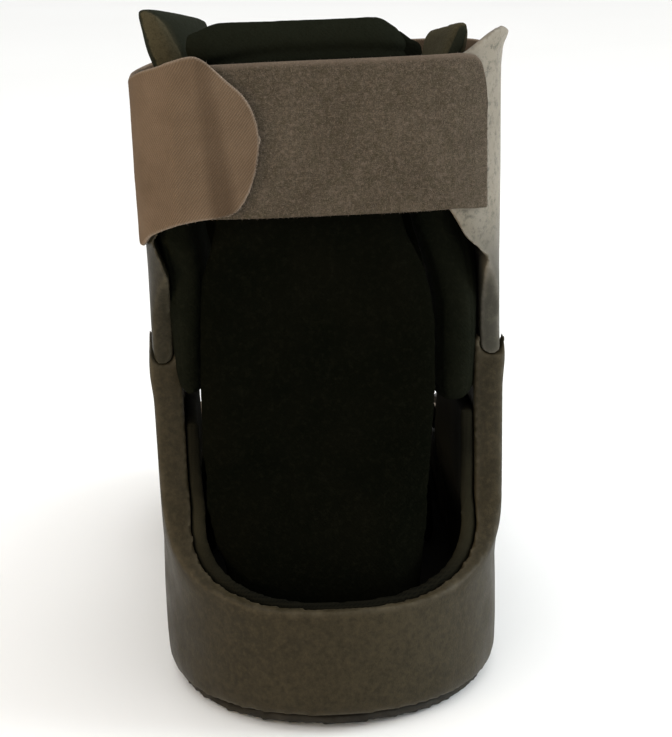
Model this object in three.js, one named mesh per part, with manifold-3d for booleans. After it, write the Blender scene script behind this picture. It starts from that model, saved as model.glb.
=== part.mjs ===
import * as THREE from 'three';
import Module from 'manifold-3d';
import { mergeVertices } from 'three/addons/utils/BufferGeometryUtils.js';

// Short walker boot, millimetres, +Z up, heel towards -Y, toe towards +Y.

// Driving sizes of the shell and sole
const BOOT_LENGTH = 290;
const HEEL_DEPTH = 70;
const LEG_SETBACK = 60;
const SHELL_HALF_WIDTH = 62.5;
const UPRIGHT_HEIGHT = 130;
const UPRIGHT_SETBACK = 38;
const UPRIGHT_DEPTH = 64;
const RIM_HEIGHT = 46;
const SIDEWALL_HEIGHT = 46;
const TOE_LIP_HEIGHT = 31;
const SHELL_WALL = 3.2;
const SHELL_FLOOR = 3.5;
const SOLE_THICKNESS = 4;
const SOLE_INSET = 1.5;
const HEEL_LIFT = 2.5;
const TOE_LIFT = 11;
const HEEL_ROCKER_LENGTH = 42;
const TOE_ROCKER_LENGTH = 92;

// Driving sizes of the struts and cuffs
const STRUT_THICKNESS = 7.6;
const STRUT_DEPTH = 42;
const STRUT_RECESS = 1;
const SOCKET_OUTER_WALL = 1;
const SOCKET_INNER_WALL = 1.5;
const SOCKET_DEPTH = 7;
const LEFT_SOCKET_RISE = 2;
const CUFF_THICKNESS = 2.8;
const CUFF_BOTTOM = 158;
const CUFF_TOP = 237;
const CUFF_BACK = 44;
const CUFF_FRONT = 60;
const CUFF_REACH = 37;
const CUFF_SQUARENESS = 3.8;
const LEFT_CUFF_DROP = 10;

// Driving sizes of the soft parts
const FOOTBED_THICKNESS = 13;
const LINING_THICKNESS = 4.5;
const LINING_TOP = 104;
const LINING_LENGTH = 120;
const SIDE_PAD_THICKNESS = 11.6;
const SIDE_PAD_DEPTH = 62;
const RIGHT_PAD_BOTTOM = 107;
const RIGHT_PAD_TOP = 240;
const LEFT_PAD_BOTTOM = 120;
const LEFT_PAD_TOP = 248;
const BACK_PAD_THICKNESS = 9;
const BACK_PAD_TOP = 244;
const BACK_PAD_HALF_WIDTH = 42;
const FRONT_PAD_THICKNESS = 9;
const FRONT_PAD_BOTTOM = 128;
const FRONT_PAD_TOP = 232;
const FRONT_PAD_HALF_WIDTH = 46;
const WRAP_THICKNESS = 5;
const WRAP_START = 116;
const WRAP_LENGTH = 128;
const WRAP_HEIGHT = 88;
const WRAP_HALF_WIDTH = 53;

// Driving sizes of the straps and rings
const STRAP_WIDTH = 51;
const STRAP_BOTTOM = 180;
const BAND_THICKNESS = 2;
const STRAP_THICKNESS = 1.8;
const INSTEP_STRAP_WIDTH = 38;
const FOREFOOT_STRAP_WIDTH = 44;
const INSTEP_STRAP_START = 126;
const FOREFOOT_STRAP_START = 186;
const STRAP_ANCHOR = 26;
const STRAP_LIFT = 3;
const RING_BAR = 4;
const RING_THICKNESS = 3;
const RING_SLOT = 8;
const EDGE_RING_LIFT = 0.1;

// Clearances: parts that touch, and straps that lie on what they hold
const FIT = 0.3;
const STRAP_FIT = 0.4;

// Places that follow from the sizes
const REAR = -BOOT_LENGTH / 2;
const TOE = BOOT_LENGTH / 2;
const HEEL_CENTRE_Y = REAR + HEEL_DEPTH;
const LEG_Y = REAR + LEG_SETBACK;
const UPRIGHT_REAR = REAR + UPRIGHT_SETBACK;
const UPRIGHT_FRONT = UPRIGHT_REAR + UPRIGHT_DEPTH;
const UPRIGHT_WALL = SOCKET_OUTER_WALL + FIT + STRUT_THICKNESS + FIT + SOCKET_INNER_WALL;
const STRUT_OUTER = SHELL_HALF_WIDTH - SOCKET_OUTER_WALL - FIT;
const STRUT_INNER = STRUT_OUTER - STRUT_THICKNESS;
const STRUT_REAR = UPRIGHT_REAR + STRUT_RECESS;
const STRUT_FRONT = STRUT_REAR + STRUT_DEPTH;
const STRAP_TOP = STRAP_BOTTOM + STRAP_WIDTH;
const CUFF_REAR = LEG_Y - CUFF_BACK;
const FLOOR_OVER_ROCKER = SOLE_THICKNESS + FIT + SHELL_FLOOR;
const BED_OVER_ROCKER = FLOOR_OVER_ROCKER + FIT + FOOTBED_THICKNESS;
const CUT_MARGIN = 30;
const CURVE_STEPS = 24;

const wasm = await Module();
wasm.setup();

function toSolid(geometry) {
  const bare = geometry.clone();
  bare.deleteAttribute('normal');
  bare.deleteAttribute('uv');
  const merged = mergeVertices(bare, 1e-4);
  return new wasm.Manifold(new wasm.Mesh({
    numProp: 3,
    vertProperties: Float32Array.from(merged.attributes.position.array),
    triVerts: Uint32Array.from(merged.index.array),
  }));
}

function toGeometry(solid) {
  const mesh = solid.getMesh();
  const geometry = new THREE.BufferGeometry();
  const points = new Float32Array((mesh.vertProperties.length / mesh.numProp) * 3);
  for (let i = 0; i < points.length / 3; i += 1) {
    for (let k = 0; k < 3; k += 1) points[3 * i + k] = mesh.vertProperties[i * mesh.numProp + k];
  }
  geometry.setAttribute('position', new THREE.BufferAttribute(points, 3));
  geometry.setIndex(Array.from(mesh.triVerts));
  return geometry;
}

// Rows of a table, each { at, ...columns }, read at any share with straight or eased steps
function readTable(rows, at, column, eased = true) {
  if (at <= rows[0].at) return rows[0][column];
  for (let i = 1; i < rows.length; i += 1) {
    if (at <= rows[i].at) {
      const low = rows[i - 1];
      const t = (at - low.at) / (rows[i].at - low.at);
      const s = eased ? t * t * (3 - 2 * t) : t;
      return low[column] + (rows[i][column] - low[column]) * s;
    }
  }
  return rows[rows.length - 1][column];
}

// Turn the faces of a closed shape outward
function facingOut(points, index) {
  let volume = 0;
  for (let i = 0; i < index.length; i += 3) {
    const cross = points[index[i + 1]].clone().cross(points[index[i + 2]]);
    volume += points[index[i]].dot(cross);
  }
  if (volume > 0) return index;
  return index.map((_, i) => index[i - (i % 3) + 2 - (i % 3)]);
}

// Closed solid through rings of equal point count
function loftGeometry(rings) {
  const count = rings[0].length;
  const points = rings.flat();
  const index = [];
  for (let r = 0; r + 1 < rings.length; r += 1) {
    for (let i = 0; i < count; i += 1) {
      const j = (i + 1) % count;
      const a = r * count + i;
      const b = r * count + j;
      const c = (r + 1) * count + j;
      const d = (r + 1) * count + i;
      index.push(a, b, c, a, c, d);
    }
  }
  const capTriangles = (ring) => {
    const centre = ring.reduce((sum, p) => sum.add(p), new THREE.Vector3()).divideScalar(count);
    const normal = new THREE.Vector3();
    for (let i = 0; i < count; i += 1) {
      const p = ring[i].clone().sub(centre);
      const q = ring[(i + 1) % count].clone().sub(centre);
      normal.add(p.cross(q));
    }
    normal.normalize();
    const side = ring[0].clone().sub(centre);
    side.addScaledVector(normal, -side.dot(normal)).normalize();
    const up = normal.clone().cross(side);
    const flat = ring.map((p) => {
      const d = p.clone().sub(centre);
      return new THREE.Vector2(d.dot(side), d.dot(up));
    });
    return THREE.ShapeUtils.triangulateShape(flat, []);
  };
  const last = (rings.length - 1) * count;
  for (const [a, b, c] of capTriangles(rings[0])) index.push(c, b, a);
  for (const [a, b, c] of capTriangles(rings[rings.length - 1])) index.push(last + a, last + b, last + c);
  const geometry = new THREE.BufferGeometry();
  geometry.setAttribute('position', new THREE.Float32BufferAttribute(points.flatMap((p) => p.toArray()), 3));
  geometry.setIndex(facingOut(points, index));
  return geometry;
}

// Prism across the boot from a side outline of [y, z] points
function sidePrism(outline, xFrom, xTo) {
  const shape = new THREE.Shape(outline.map(([y, z]) => new THREE.Vector2(y, z)));
  const geometry = new THREE.ExtrudeGeometry(shape, { depth: xTo - xFrom, bevelEnabled: false });
  const axes = new THREE.Matrix4().makeBasis(
    new THREE.Vector3(0, 1, 0),
    new THREE.Vector3(0, 0, 1),
    new THREE.Vector3(1, 0, 0),
  );
  return toSolid(geometry.applyMatrix4(axes).translate(xFrom, 0, 0));
}

// Prism along the boot from a rear outline of [x, z] points
function rearPrism(outline, yFrom, yTo) {
  const shape = new THREE.Shape(outline.map(([x, z]) => new THREE.Vector2(x, z)));
  const geometry = new THREE.ExtrudeGeometry(shape, { depth: yTo - yFrom, bevelEnabled: false });
  const axes = new THREE.Matrix4().makeBasis(
    new THREE.Vector3(1, 0, 0),
    new THREE.Vector3(0, 0, 1),
    new THREE.Vector3(0, -1, 0),
  );
  return toSolid(geometry.applyMatrix4(axes).translate(0, yTo, 0));
}

function smoothLine(points, steps) {
  const curve = new THREE.CatmullRomCurve3(points.map(([a, b]) => new THREE.Vector3(a, b, 0)), false, 'centripetal');
  return curve.getPoints(steps).map((p) => [p.x, p.y]);
}

// Height of the sole's underside above the ground
function rocker(y) {
  const heel = Math.max(0, (REAR + HEEL_ROCKER_LENGTH - y) / HEEL_ROCKER_LENGTH);
  const toe = Math.max(0, (y - (TOE - TOE_ROCKER_LENGTH)) / TOE_ROCKER_LENGTH);
  return HEEL_LIFT * heel * heel + TOE_LIFT * toe * toe;
}

// Side outline between two heights over the rocker line
function rockerBand(low, high) {
  const lower = [];
  const upper = [];
  const from = REAR - CUT_MARGIN;
  const to = TOE + CUT_MARGIN;
  const steps = CURVE_STEPS * 2;
  for (let i = 0; i <= steps; i += 1) {
    const y = from + ((to - from) * i) / steps;
    const base = rocker(Math.min(Math.max(y, REAR), TOE));
    lower.push([y, base + low]);
    upper.push([y, base + high]);
  }
  return lower.concat(upper.reverse());
}

// Plan of the foot part from the heel's widest line to the toe: shares of the length left and of the half width
const FOOT_PLAN = [
  { along: 0, wide: 1 },
  { along: 0.15, wide: 0.97 },
  { along: 0.32, wide: 0.935 },
  { along: 0.5, wide: 0.95 },
  { along: 0.66, wide: 0.99 },
  { along: 0.78, wide: 0.97 },
  { along: 0.88, wide: 0.85 },
  { along: 0.95, wide: 0.62 },
  { along: 0.987, wide: 0.33 },
  { along: 1, wide: 0 },
];

// Outer form of the shell by height: share of the half width, rear inset as a share of the heel depth,
// squareness of the heel plan, and the wall between SHELL_WALL (0) and UPRIGHT_WALL (1)
const SHELL_FORM = [
  { at: 0, wide: 0.955, inset: 0.03, square: 2, wall: 0 },
  { at: 0.06, wide: 0.985, inset: 0.008, square: 2, wall: 0 },
  { at: 0.13, wide: 0.99, inset: 0, square: 2.02, wall: 0 },
  { at: 0.25, wide: 0.99, inset: 0, square: 2.05, wall: 0 },
  { at: 0.34, wide: 0.985, inset: 0.004, square: 2.15, wall: 0.05 },
  { at: 0.41, wide: 0.98, inset: 0.01, square: 2.6, wall: 0.3 },
  { at: 0.48, wide: 0.98, inset: 0.02, square: 3.4, wall: 0.62 },
  { at: 0.56, wide: 0.98, inset: 0.03, square: 4.2, wall: 0.88 },
  { at: 0.66, wide: 0.98, inset: 0.04, square: 5, wall: 0.89 },
  { at: 0.86, wide: 0.985, inset: 0.05, square: 5, wall: 0.92 },
  { at: 0.93, wide: 1, inset: 0.05, square: 5, wall: 1 },
  { at: 1, wide: 1, inset: 0.05, square: 5, wall: 1 },
];

// Closed plan of the shell at one height, moved inward by `inset`
function shellPlan(share, inset) {
  const half = SHELL_HALF_WIDTH * readTable(SHELL_FORM, share, 'wide') - inset;
  const back = HEEL_DEPTH * (1 - readTable(SHELL_FORM, share, 'inset')) - inset;
  const power = 2 / readTable(SHELL_FORM, share, 'square');
  const right = [];
  for (let i = 0; i <= CURVE_STEPS / 2; i += 1) {
    const angle = (Math.PI / 2) * (1 - i / (CURVE_STEPS / 2));
    const x = half * Math.cos(angle) ** power;
    right.push([i === 0 ? 0 : x, HEEL_CENTRE_Y - back * Math.sin(angle) ** power]);
  }
  const front = TOE - inset - HEEL_CENTRE_Y;
  const rows = FOOT_PLAN.map((row) => [half * row.wide, HEEL_CENTRE_Y + front * row.along]);
  right.push(...smoothLine(rows, CURVE_STEPS).slice(1));
  right[right.length - 1][0] = 0;
  const left = right.slice(1, -1).reverse().map(([x, y]) => [-x, y]);
  return right.concat(left);
}

function shellWall(share) {
  const wall = readTable(SHELL_FORM, share, 'wall');
  return SHELL_WALL + (UPRIGHT_WALL - SHELL_WALL) * wall;
}

// Loft of the shell's plan, with an extra inset inside the wall where `inner` is set
function shellLoft(inner, inset, top) {
  const rings = SHELL_FORM.map((row, i) => {
    const wall = inner ? shellWall(row.at) : 0;
    const lift = i === SHELL_FORM.length - 1 ? top : 0;
    const z = i === 0 && inner ? -CUT_MARGIN : UPRIGHT_HEIGHT * row.at + lift;
    return shellPlan(row.at, wall + inset).map(([x, y]) => new THREE.Vector3(x, y, z));
  });
  return toSolid(loftGeometry(rings));
}

// Rear opening: share of the upright's setback and of the height from the rim to the top
const REAR_EDGE = [
  { back: 0, up: 0 },
  { back: 0.2, up: 0.004 },
  { back: 0.4, up: 0.03 },
  { back: 0.6, up: 0.075 },
  { back: 0.79, up: 0.16 },
  { back: 0.915, up: 0.28 },
  { back: 0.975, up: 0.45 },
  { back: 1, up: 0.7 },
  { back: 1.01, up: 1 },
];

// Front top edge: share of the length from the upright's front to the toe, and share of its drop to the side wall
const FRONT_EDGE = [
  { along: 0, drop: 0 },
  { along: 0.01, drop: 0.2 },
  { along: 0.045, drop: 0.45 },
  { along: 0.12, drop: 0.73 },
  { along: 0.23, drop: 0.91 },
  { along: 0.4, drop: 1 },
];

function rearCut(shift) {
  const rise = UPRIGHT_HEIGHT - RIM_HEIGHT;
  const edge = REAR_EDGE.map((row) => [REAR + UPRIGHT_SETBACK * row.back + shift, RIM_HEIGHT + rise * row.up]);
  const line = smoothLine(edge, CURVE_STEPS);
  const top = UPRIGHT_HEIGHT + CUT_MARGIN;
  const outline = [[REAR - CUT_MARGIN, RIM_HEIGHT], ...line, [line[line.length - 1][0], top], [REAR - CUT_MARGIN, top]];
  return sidePrism(outline, -2 * SHELL_HALF_WIDTH, 2 * SHELL_HALF_WIDTH);
}

// Top edge of the shell's side from the upright to the toe, as [y, z] points
function frontEdgeLine() {
  const run = TOE - UPRIGHT_FRONT;
  const drop = UPRIGHT_HEIGHT - SIDEWALL_HEIGHT;
  const edge = FRONT_EDGE.map((row) => [UPRIGHT_FRONT + run * row.along, UPRIGHT_HEIGHT - drop * row.drop]);
  edge.push([TOE, TOE_LIP_HEIGHT], [TOE + CUT_MARGIN, TOE_LIP_HEIGHT]);
  return smoothLine(edge, CURVE_STEPS);
}

function frontCut() {
  const line = frontEdgeLine();
  const top = UPRIGHT_HEIGHT + CUT_MARGIN;
  const outline = [[UPRIGHT_FRONT, top], ...line, [TOE + CUT_MARGIN, top]];
  return sidePrism(outline.reverse(), -2 * SHELL_HALF_WIDTH, 2 * SHELL_HALF_WIDTH);
}

// Rear outline of a strut's lower end, and of the socket around it with a clearance
function strutEnd(side, clearance, top) {
  const socketFloor = UPRIGHT_HEIGHT - SOCKET_DEPTH + (side > 0 ? 0 : LEFT_SOCKET_RISE);
  const radius = STRUT_THICKNESS / 2 + clearance;
  const middle = STRUT_OUTER - STRUT_THICKNESS / 2;
  const centreZ = socketFloor + FIT + STRUT_THICKNESS / 2;
  const points = [];
  const steps = 8;
  for (let i = 0; i <= steps; i += 1) {
    const angle = Math.PI + (Math.PI * i) / steps;
    points.push([middle + radius * Math.cos(angle), centreZ + radius * Math.sin(angle)]);
  }
  points.push([middle + radius, top], [middle - radius, top]);
  const outline = points.map(([x, z]) => [side * x, z]);
  return side > 0 ? outline : outline.reverse();
}

function buildShell() {
  const far = 2 * UPRIGHT_HEIGHT;
  const cavity = shellLoft(true, 0, CUT_MARGIN).intersect(
    sidePrism(rockerBand(FLOOR_OVER_ROCKER, far), -2 * SHELL_HALF_WIDTH, 2 * SHELL_HALF_WIDTH),
  );
  const under = sidePrism(rockerBand(-CUT_MARGIN, SOLE_THICKNESS + FIT), -2 * SHELL_HALF_WIDTH, 2 * SHELL_HALF_WIDTH);
  let shell = shellLoft(false, 0, 0).subtract(cavity).subtract(under).subtract(rearCut(0)).subtract(frontCut());
  for (const side of [-1, 1]) {
    const socket = strutEnd(side, FIT, UPRIGHT_HEIGHT + CUT_MARGIN);
    shell = shell.subtract(rearPrism(socket, UPRIGHT_REAR - CUT_MARGIN, STRUT_FRONT + FIT));
  }
  return shell;
}

function buildOutsole() {
  const plan = shellPlan(0, SOLE_INSET);
  const rings = [-CUT_MARGIN, CUT_MARGIN].map((z) => plan.map(([x, y]) => new THREE.Vector3(x, y, z)));
  const band = sidePrism(rockerBand(0, SOLE_THICKNESS), -2 * SHELL_HALF_WIDTH, 2 * SHELL_HALF_WIDTH);
  return toSolid(loftGeometry(rings)).intersect(band);
}

function buildFootbed() {
  const band = rockerBand(FLOOR_OVER_ROCKER + FIT, BED_OVER_ROCKER);
  return shellLoft(true, FIT, 0).intersect(sidePrism(band, -2 * SHELL_HALF_WIDTH, 2 * SHELL_HALF_WIDTH));
}

function buildLining() {
  const outer = shellLoft(true, FIT, CUT_MARGIN);
  const inner = shellLoft(true, FIT + LINING_THICKNESS, CUT_MARGIN);
  const band = sidePrism(rockerBand(BED_OVER_ROCKER + FIT, 2 * UPRIGHT_HEIGHT), -2 * SHELL_HALF_WIDTH, 2 * SHELL_HALF_WIDTH);
  const front = REAR + LINING_LENGTH;
  const zone = [
    [REAR - CUT_MARGIN, -CUT_MARGIN],
    [front, -CUT_MARGIN],
    [front, SIDEWALL_HEIGHT],
    [UPRIGHT_FRONT - LINING_THICKNESS, LINING_TOP],
    [REAR - CUT_MARGIN, LINING_TOP],
  ];
  const keep = sidePrism(zone, -2 * SHELL_HALF_WIDTH, 2 * SHELL_HALF_WIDTH);
  return outer.subtract(inner).intersect(band).intersect(keep).subtract(rearCut(FIT));
}

// Plan of the cuff at an angle from straight back (0) round the side to straight front (180 degrees)
function cuffPoint(angle, half, offset) {
  const power = 2 / CUFF_SQUARENESS;
  const across = Math.sin(angle);
  const along = -Math.cos(angle);
  const reach = along < 0 ? CUFF_BACK : CUFF_FRONT;
  const x = (half + offset) * Math.sign(across) * Math.abs(across) ** power;
  const y = LEG_Y + (reach + offset) * Math.sign(along) * Math.abs(along) ** power;
  return [x, y];
}

// Cuff height in shares of its own height, and its half width over the strut's outer face
const CUFF_FORM = [
  { at: 0, flare: 0 },
  { at: 0.4, flare: 0.6 },
  { at: 0.72, flare: 0.8 },
  { at: 0.84, flare: 1 },
  { at: 0.92, flare: 1.7 },
  { at: 1, flare: 4.6 },
];

// Cuff outline seen from behind: share from the rear end (0) to the side (1), and share of the cuff's height
const CUFF_LOWER_EDGE = [
  { at: 0, up: 0.5 },
  { at: 0.3, up: 0.34 },
  { at: 0.48, up: 0.21 },
  { at: 0.57, up: 0.135 },
  { at: 0.68, up: 0.09 },
  { at: 0.76, up: 0.04 },
  { at: 1, up: 0 },
];
const LEFT_CUFF_LOWER_EDGE = [
  { at: 0, up: 0.52 },
  { at: 0.3, up: 0.47 },
  { at: 0.6, up: 0.36 },
  { at: 0.75, up: 0.27 },
  { at: 0.86, up: 0.17 },
  { at: 0.94, up: 0.1 },
  { at: 1, up: 0.02 },
];
const CUFF_UPPER_EDGE = [
  { at: 0, up: 0.84 },
  { at: 0.3, up: 0.88 },
  { at: 0.55, up: 0.918 },
  { at: 0.65, up: 0.947 },
  { at: 0.74, up: 0.975 },
  { at: 0.84, up: 1 },
  { at: 0.95, up: 1.01 },
  { at: 1.03, up: 0.985 },
];

function cuffHalf(z) {
  return STRUT_OUTER + readTable(CUFF_FORM, (z - CUFF_BOTTOM) / (CUFF_TOP - CUFF_BOTTOM), 'flare', false);
}

function cuffRing(offset, margin) {
  const levels = CUFF_FORM.map((row) => CUFF_BOTTOM + (CUFF_TOP - CUFF_BOTTOM) * row.at);
  const rings = [];
  for (const z of [CUFF_BOTTOM - margin, ...levels, CUFF_TOP + margin]) {
    const ring = [];
    const count = 2 * CURVE_STEPS;
    for (let i = 0; i < count; i += 1) {
      const [x, y] = cuffPoint((2 * Math.PI * i) / count, cuffHalf(z), offset);
      ring.push(new THREE.Vector3(x, y, z));
    }
    rings.push(ring);
  }
  return toSolid(loftGeometry(rings));
}

// Rise of the cuff's sloping front and rear edges, as a share of its height
const CUFF_EDGE_SHARE = 16 / 79;

function buildStrutCuff(side, drop, lowerEdge) {
  const height = CUFF_TOP - CUFF_BOTTOM;
  const rearX = SHELL_HALF_WIDTH - CUFF_REACH;
  const edgePoint = (row) => [rearX + CUFF_REACH * row.at, CUFF_BOTTOM + height * row.up];
  const lower = smoothLine(lowerEdge.map(edgePoint), CURVE_STEPS / 2);
  const upper = smoothLine(CUFF_UPPER_EDGE.map(edgePoint), CURVE_STEPS / 2).map(([x, z]) => [x, z - drop]);
  const outerX = SHELL_HALF_WIDTH + CUT_MARGIN;
  const flat = [...lower, [outerX, CUFF_BOTTOM], [outerX, upper[upper.length - 1][1]], ...upper.reverse()];
  const outline = flat.map(([x, z]) => [side * x, z]);
  const wall = cuffRing(0, CUT_MARGIN).subtract(cuffRing(-CUFF_THICKNESS, 2 * CUT_MARGIN));
  const frontY = STRUT_FRONT + UPRIGHT_DEPTH / 4;
  const slope = UPRIGHT_DEPTH / 4;
  const rise = height * CUFF_EDGE_SHARE;
  const sideView = [
    [CUFF_REAR - CUT_MARGIN, CUFF_BOTTOM - CUT_MARGIN],
    [STRUT_FRONT, CUFF_BOTTOM - CUT_MARGIN],
    [STRUT_FRONT, CUFF_BOTTOM],
    [frontY - slope / 4, CUFF_BOTTOM + rise],
    [frontY, CUFF_BOTTOM + 2 * rise],
    [frontY, CUFF_TOP - drop - 2 * rise],
    [frontY - slope / 2, CUFF_TOP - drop - 1.5 * rise],
    [STRUT_FRONT - slope / 2, CUFF_TOP - drop - rise],
    [STRUT_REAR + slope / 2, CUFF_TOP - drop - rise / 4],
    [STRUT_REAR - slope / 4, CUFF_TOP - drop],
    [CUFF_REAR - CUT_MARGIN, CUFF_TOP + CUT_MARGIN],
  ];
  const cuff = wall
    .intersect(rearPrism(side > 0 ? outline : outline.reverse(), CUFF_REAR - CUT_MARGIN, LEG_Y + CUFF_FRONT))
    .intersect(sidePrism(sideView, -2 * SHELL_HALF_WIDTH, 2 * SHELL_HALF_WIDTH));
  const strutTop = CUFF_BOTTOM + height / 5;
  const end = strutEnd(side, 0, CUFF_BOTTOM);
  const taper = [side * (STRUT_OUTER - CUFF_THICKNESS / 2), strutTop];
  const shoulder = side > 0
    ? [...end.slice(0, -1), [side * STRUT_OUTER, strutTop], taper, end[end.length - 1]]
    : [end[0], taper, [side * STRUT_OUTER, strutTop], ...end.slice(1)];
  const flow = [
    [STRUT_REAR, -CUT_MARGIN],
    [STRUT_FRONT, -CUT_MARGIN],
    [STRUT_FRONT, CUFF_TOP],
    [CUFF_REAR - CUT_MARGIN, CUFF_TOP],
    [CUFF_REAR - CUT_MARGIN, strutTop],
    [CUFF_REAR, strutTop],
    [STRUT_REAR, CUFF_BOTTOM - rise],
  ];
  const strut = rearPrism(shoulder, CUFF_REAR, STRUT_FRONT)
    .intersect(sidePrism(flow, -2 * SHELL_HALF_WIDTH, 2 * SHELL_HALF_WIDTH))
    .intersect(cuffRing(0, UPRIGHT_HEIGHT));
  return strut.add(cuff);
}

// Closed pad with round edges, lofted up through plan centrelines of [x, y] with a thickness; `fall` lowers
// the line's first end
function padLoft(levels) {
  const rings = levels.map(({ z, line, thickness, fall = 0 }) => {
    const curve = new THREE.CatmullRomCurve3(line.map(([x, y]) => new THREE.Vector3(x, y, 0)), false, 'centripetal');
    const steps = 10;
    const near = [];
    const away = [];
    for (let i = 0; i <= steps; i += 1) {
      const t = i / steps;
      const p = curve.getPoint(t);
      const d = curve.getTangent(t);
      const edge = Math.min(1, 0.55 + 3.2 * Math.min(t, 1 - t));
      const half = (thickness / 2) * edge;
      const height = z - fall * (1 - t);
      near.push(new THREE.Vector3(p.x + d.y * half, p.y - d.x * half, height));
      away.push(new THREE.Vector3(p.x - d.y * half, p.y + d.x * half, height));
    }
    return near.concat(away.reverse());
  });
  return loftGeometry(rings);
}

// Side pad by height: inward push of the rear end and of the front end as shares of the pad's thickness,
// how far back the rear end reaches and how far the front end falls as shares of the pad's depth, and share
// of full thickness
const RIGHT_PAD_FORM = [
  { at: 0, rear: 0.2, front: 0.1, reach: 0.95, fall: 0, full: 0.6 },
  { at: 0.03, rear: 0.12, front: 0.1, reach: 0.97, fall: 0, full: 0.92 },
  { at: 0.16, rear: 0.08, front: 0.04, reach: 0.98, fall: 0, full: 1 },
  { at: 0.28, rear: 0.08, front: -0.1, reach: 0.99, fall: 0, full: 1 },
  { at: 0.36, rear: 0.22, front: -0.1, reach: 1, fall: 0, full: 1.08 },
  { at: 0.43, rear: 0.48, front: -0.1, reach: 1.01, fall: 0, full: 1.22 },
  { at: 0.5, rear: 0.8, front: -0.05, reach: 1.02, fall: 0, full: 1.25 },
  { at: 0.7, rear: 0.8, front: 0, reach: 1.03, fall: 0, full: 0.95 },
  { at: 0.86, rear: 0.5, front: 0.1, reach: 1.03, fall: 0.02, full: 0.9 },
  { at: 0.93, rear: 0.02, front: 0.1, reach: 1.02, fall: 0.06, full: 0.85 },
  { at: 0.975, rear: -0.2, front: 0.05, reach: 1, fall: 0.11, full: 0.75 },
  { at: 1, rear: -0.26, front: 0.05, reach: 0.96, fall: 0.14, full: 0.45 },
];
const LEFT_PAD_FORM = [
  { at: 0, rear: -0.15, front: 0.05, reach: 0.99, fall: 0, full: 0.5 },
  { at: 0.03, rear: -0.18, front: 0.05, reach: 1.01, fall: 0, full: 0.66 },
  { at: 0.1, rear: -0.2, front: 0.05, reach: 1.03, fall: 0, full: 0.7 },
  { at: 0.2, rear: -0.18, front: -0.1, reach: 1.03, fall: 0, full: 0.84 },
  { at: 0.3, rear: -0.18, front: -0.1, reach: 1.03, fall: 0, full: 0.84 },
  { at: 0.36, rear: -0.28, front: -0.26, reach: 1.03, fall: 0, full: 0.88 },
  { at: 0.42, rear: -0.4, front: -0.3, reach: 1.02, fall: 0, full: 0.88 },
  { at: 0.76, rear: -0.42, front: 0, reach: 1, fall: 0, full: 0.9 },
  { at: 0.84, rear: -0.44, front: 0.2, reach: 0.99, fall: 0.01, full: 1.15 },
  { at: 0.88, rear: -0.59, front: 0.28, reach: 0.98, fall: 0.04, full: 1.35 },
  { at: 0.94, rear: -0.83, front: 0.34, reach: 0.97, fall: 0.1, full: 1.22 },
  { at: 0.985, rear: -1.03, front: 0.4, reach: 0.96, fall: 0.16, full: 1.08 },
  { at: 1, rear: -1.08, front: 0.4, reach: 0.94, fall: 0.18, full: 0.7 },
];

function buildSidePad(side, form, bottom, top) {
  const seat = SHELL_HALF_WIDTH - UPRIGHT_WALL - STRAP_FIT - SIDE_PAD_THICKNESS / 2;
  const frontY = STRUT_FRONT + SIDE_PAD_DEPTH / 5;
  const levels = form.map((row) => {
    const z = bottom + (top - bottom) * row.at;
    const rearY = frontY - SIDE_PAD_DEPTH * row.reach;
    const rearX = seat - SIDE_PAD_THICKNESS * row.rear;
    const frontX = seat - SIDE_PAD_THICKNESS * row.front;
    const along = (share) => [frontX + (rearX - frontX) * share * share, frontY + (rearY - frontY) * share];
    const line = [along(0), along(0.35), along(0.7), along(1)];
    return {
      z,
      line: line.map(([x, y]) => [side * x, y]),
      thickness: SIDE_PAD_THICKNESS * row.full,
      fall: SIDE_PAD_DEPTH * row.fall,
    };
  });
  return padLoft(levels);
}

// Back pad by height: left and right edges as shares of the half width, how far the outer face lies in from
// the cuffs' rear as a share of the pad's thickness, how far the edges wrap forward, and share of thickness
const BACK_PAD_FORM = [
  { at: 0, left: 0.78, right: 0.64, inward: 0.1, wrap: 0.7, full: 0.7 },
  { at: 0.03, left: 0.82, right: 0.68, inward: 0.1, wrap: 0.8, full: 1 },
  { at: 0.13, left: 0.94, right: 0.73, inward: 0.15, wrap: 1.1, full: 1 },
  { at: 0.19, left: 1.03, right: 0.77, inward: 0.2, wrap: 1.1, full: 1 },
  { at: 0.24, left: 1.09, right: 0.8, inward: 0.2, wrap: 0.7, full: 0.9 },
  { at: 0.34, left: 1.11, right: 0.84, inward: 0.1, wrap: 0.2, full: 0.9 },
  { at: 0.43, left: 1.11, right: 0.88, inward: 0, wrap: 0, full: 0.95 },
  { at: 0.56, left: 1.08, right: 0.87, inward: 0, wrap: 0, full: 0.95 },
  { at: 0.62, left: 1.04, right: 0.8, inward: 0, wrap: 0, full: 0.95 },
  { at: 0.68, left: 0.94, right: 0.65, inward: 0, wrap: 0, full: 0.95 },
  { at: 0.8, left: 0.86, right: 0.6, inward: 0, wrap: 0.3, full: 0.95 },
  { at: 0.9, left: 0.88, right: 0.62, inward: 0.05, wrap: 0.3, full: 0.95 },
  { at: 0.95, left: 1.09, right: 0.72, inward: 0.2, wrap: 0.2, full: 1 },
  { at: 0.98, left: 1.07, right: 0.62, inward: 0.3, wrap: 0.2, full: 0.9 },
  { at: 1, left: 0.84, right: 0.48, inward: 0.35, wrap: 0.2, full: 0.55 },
];

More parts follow.
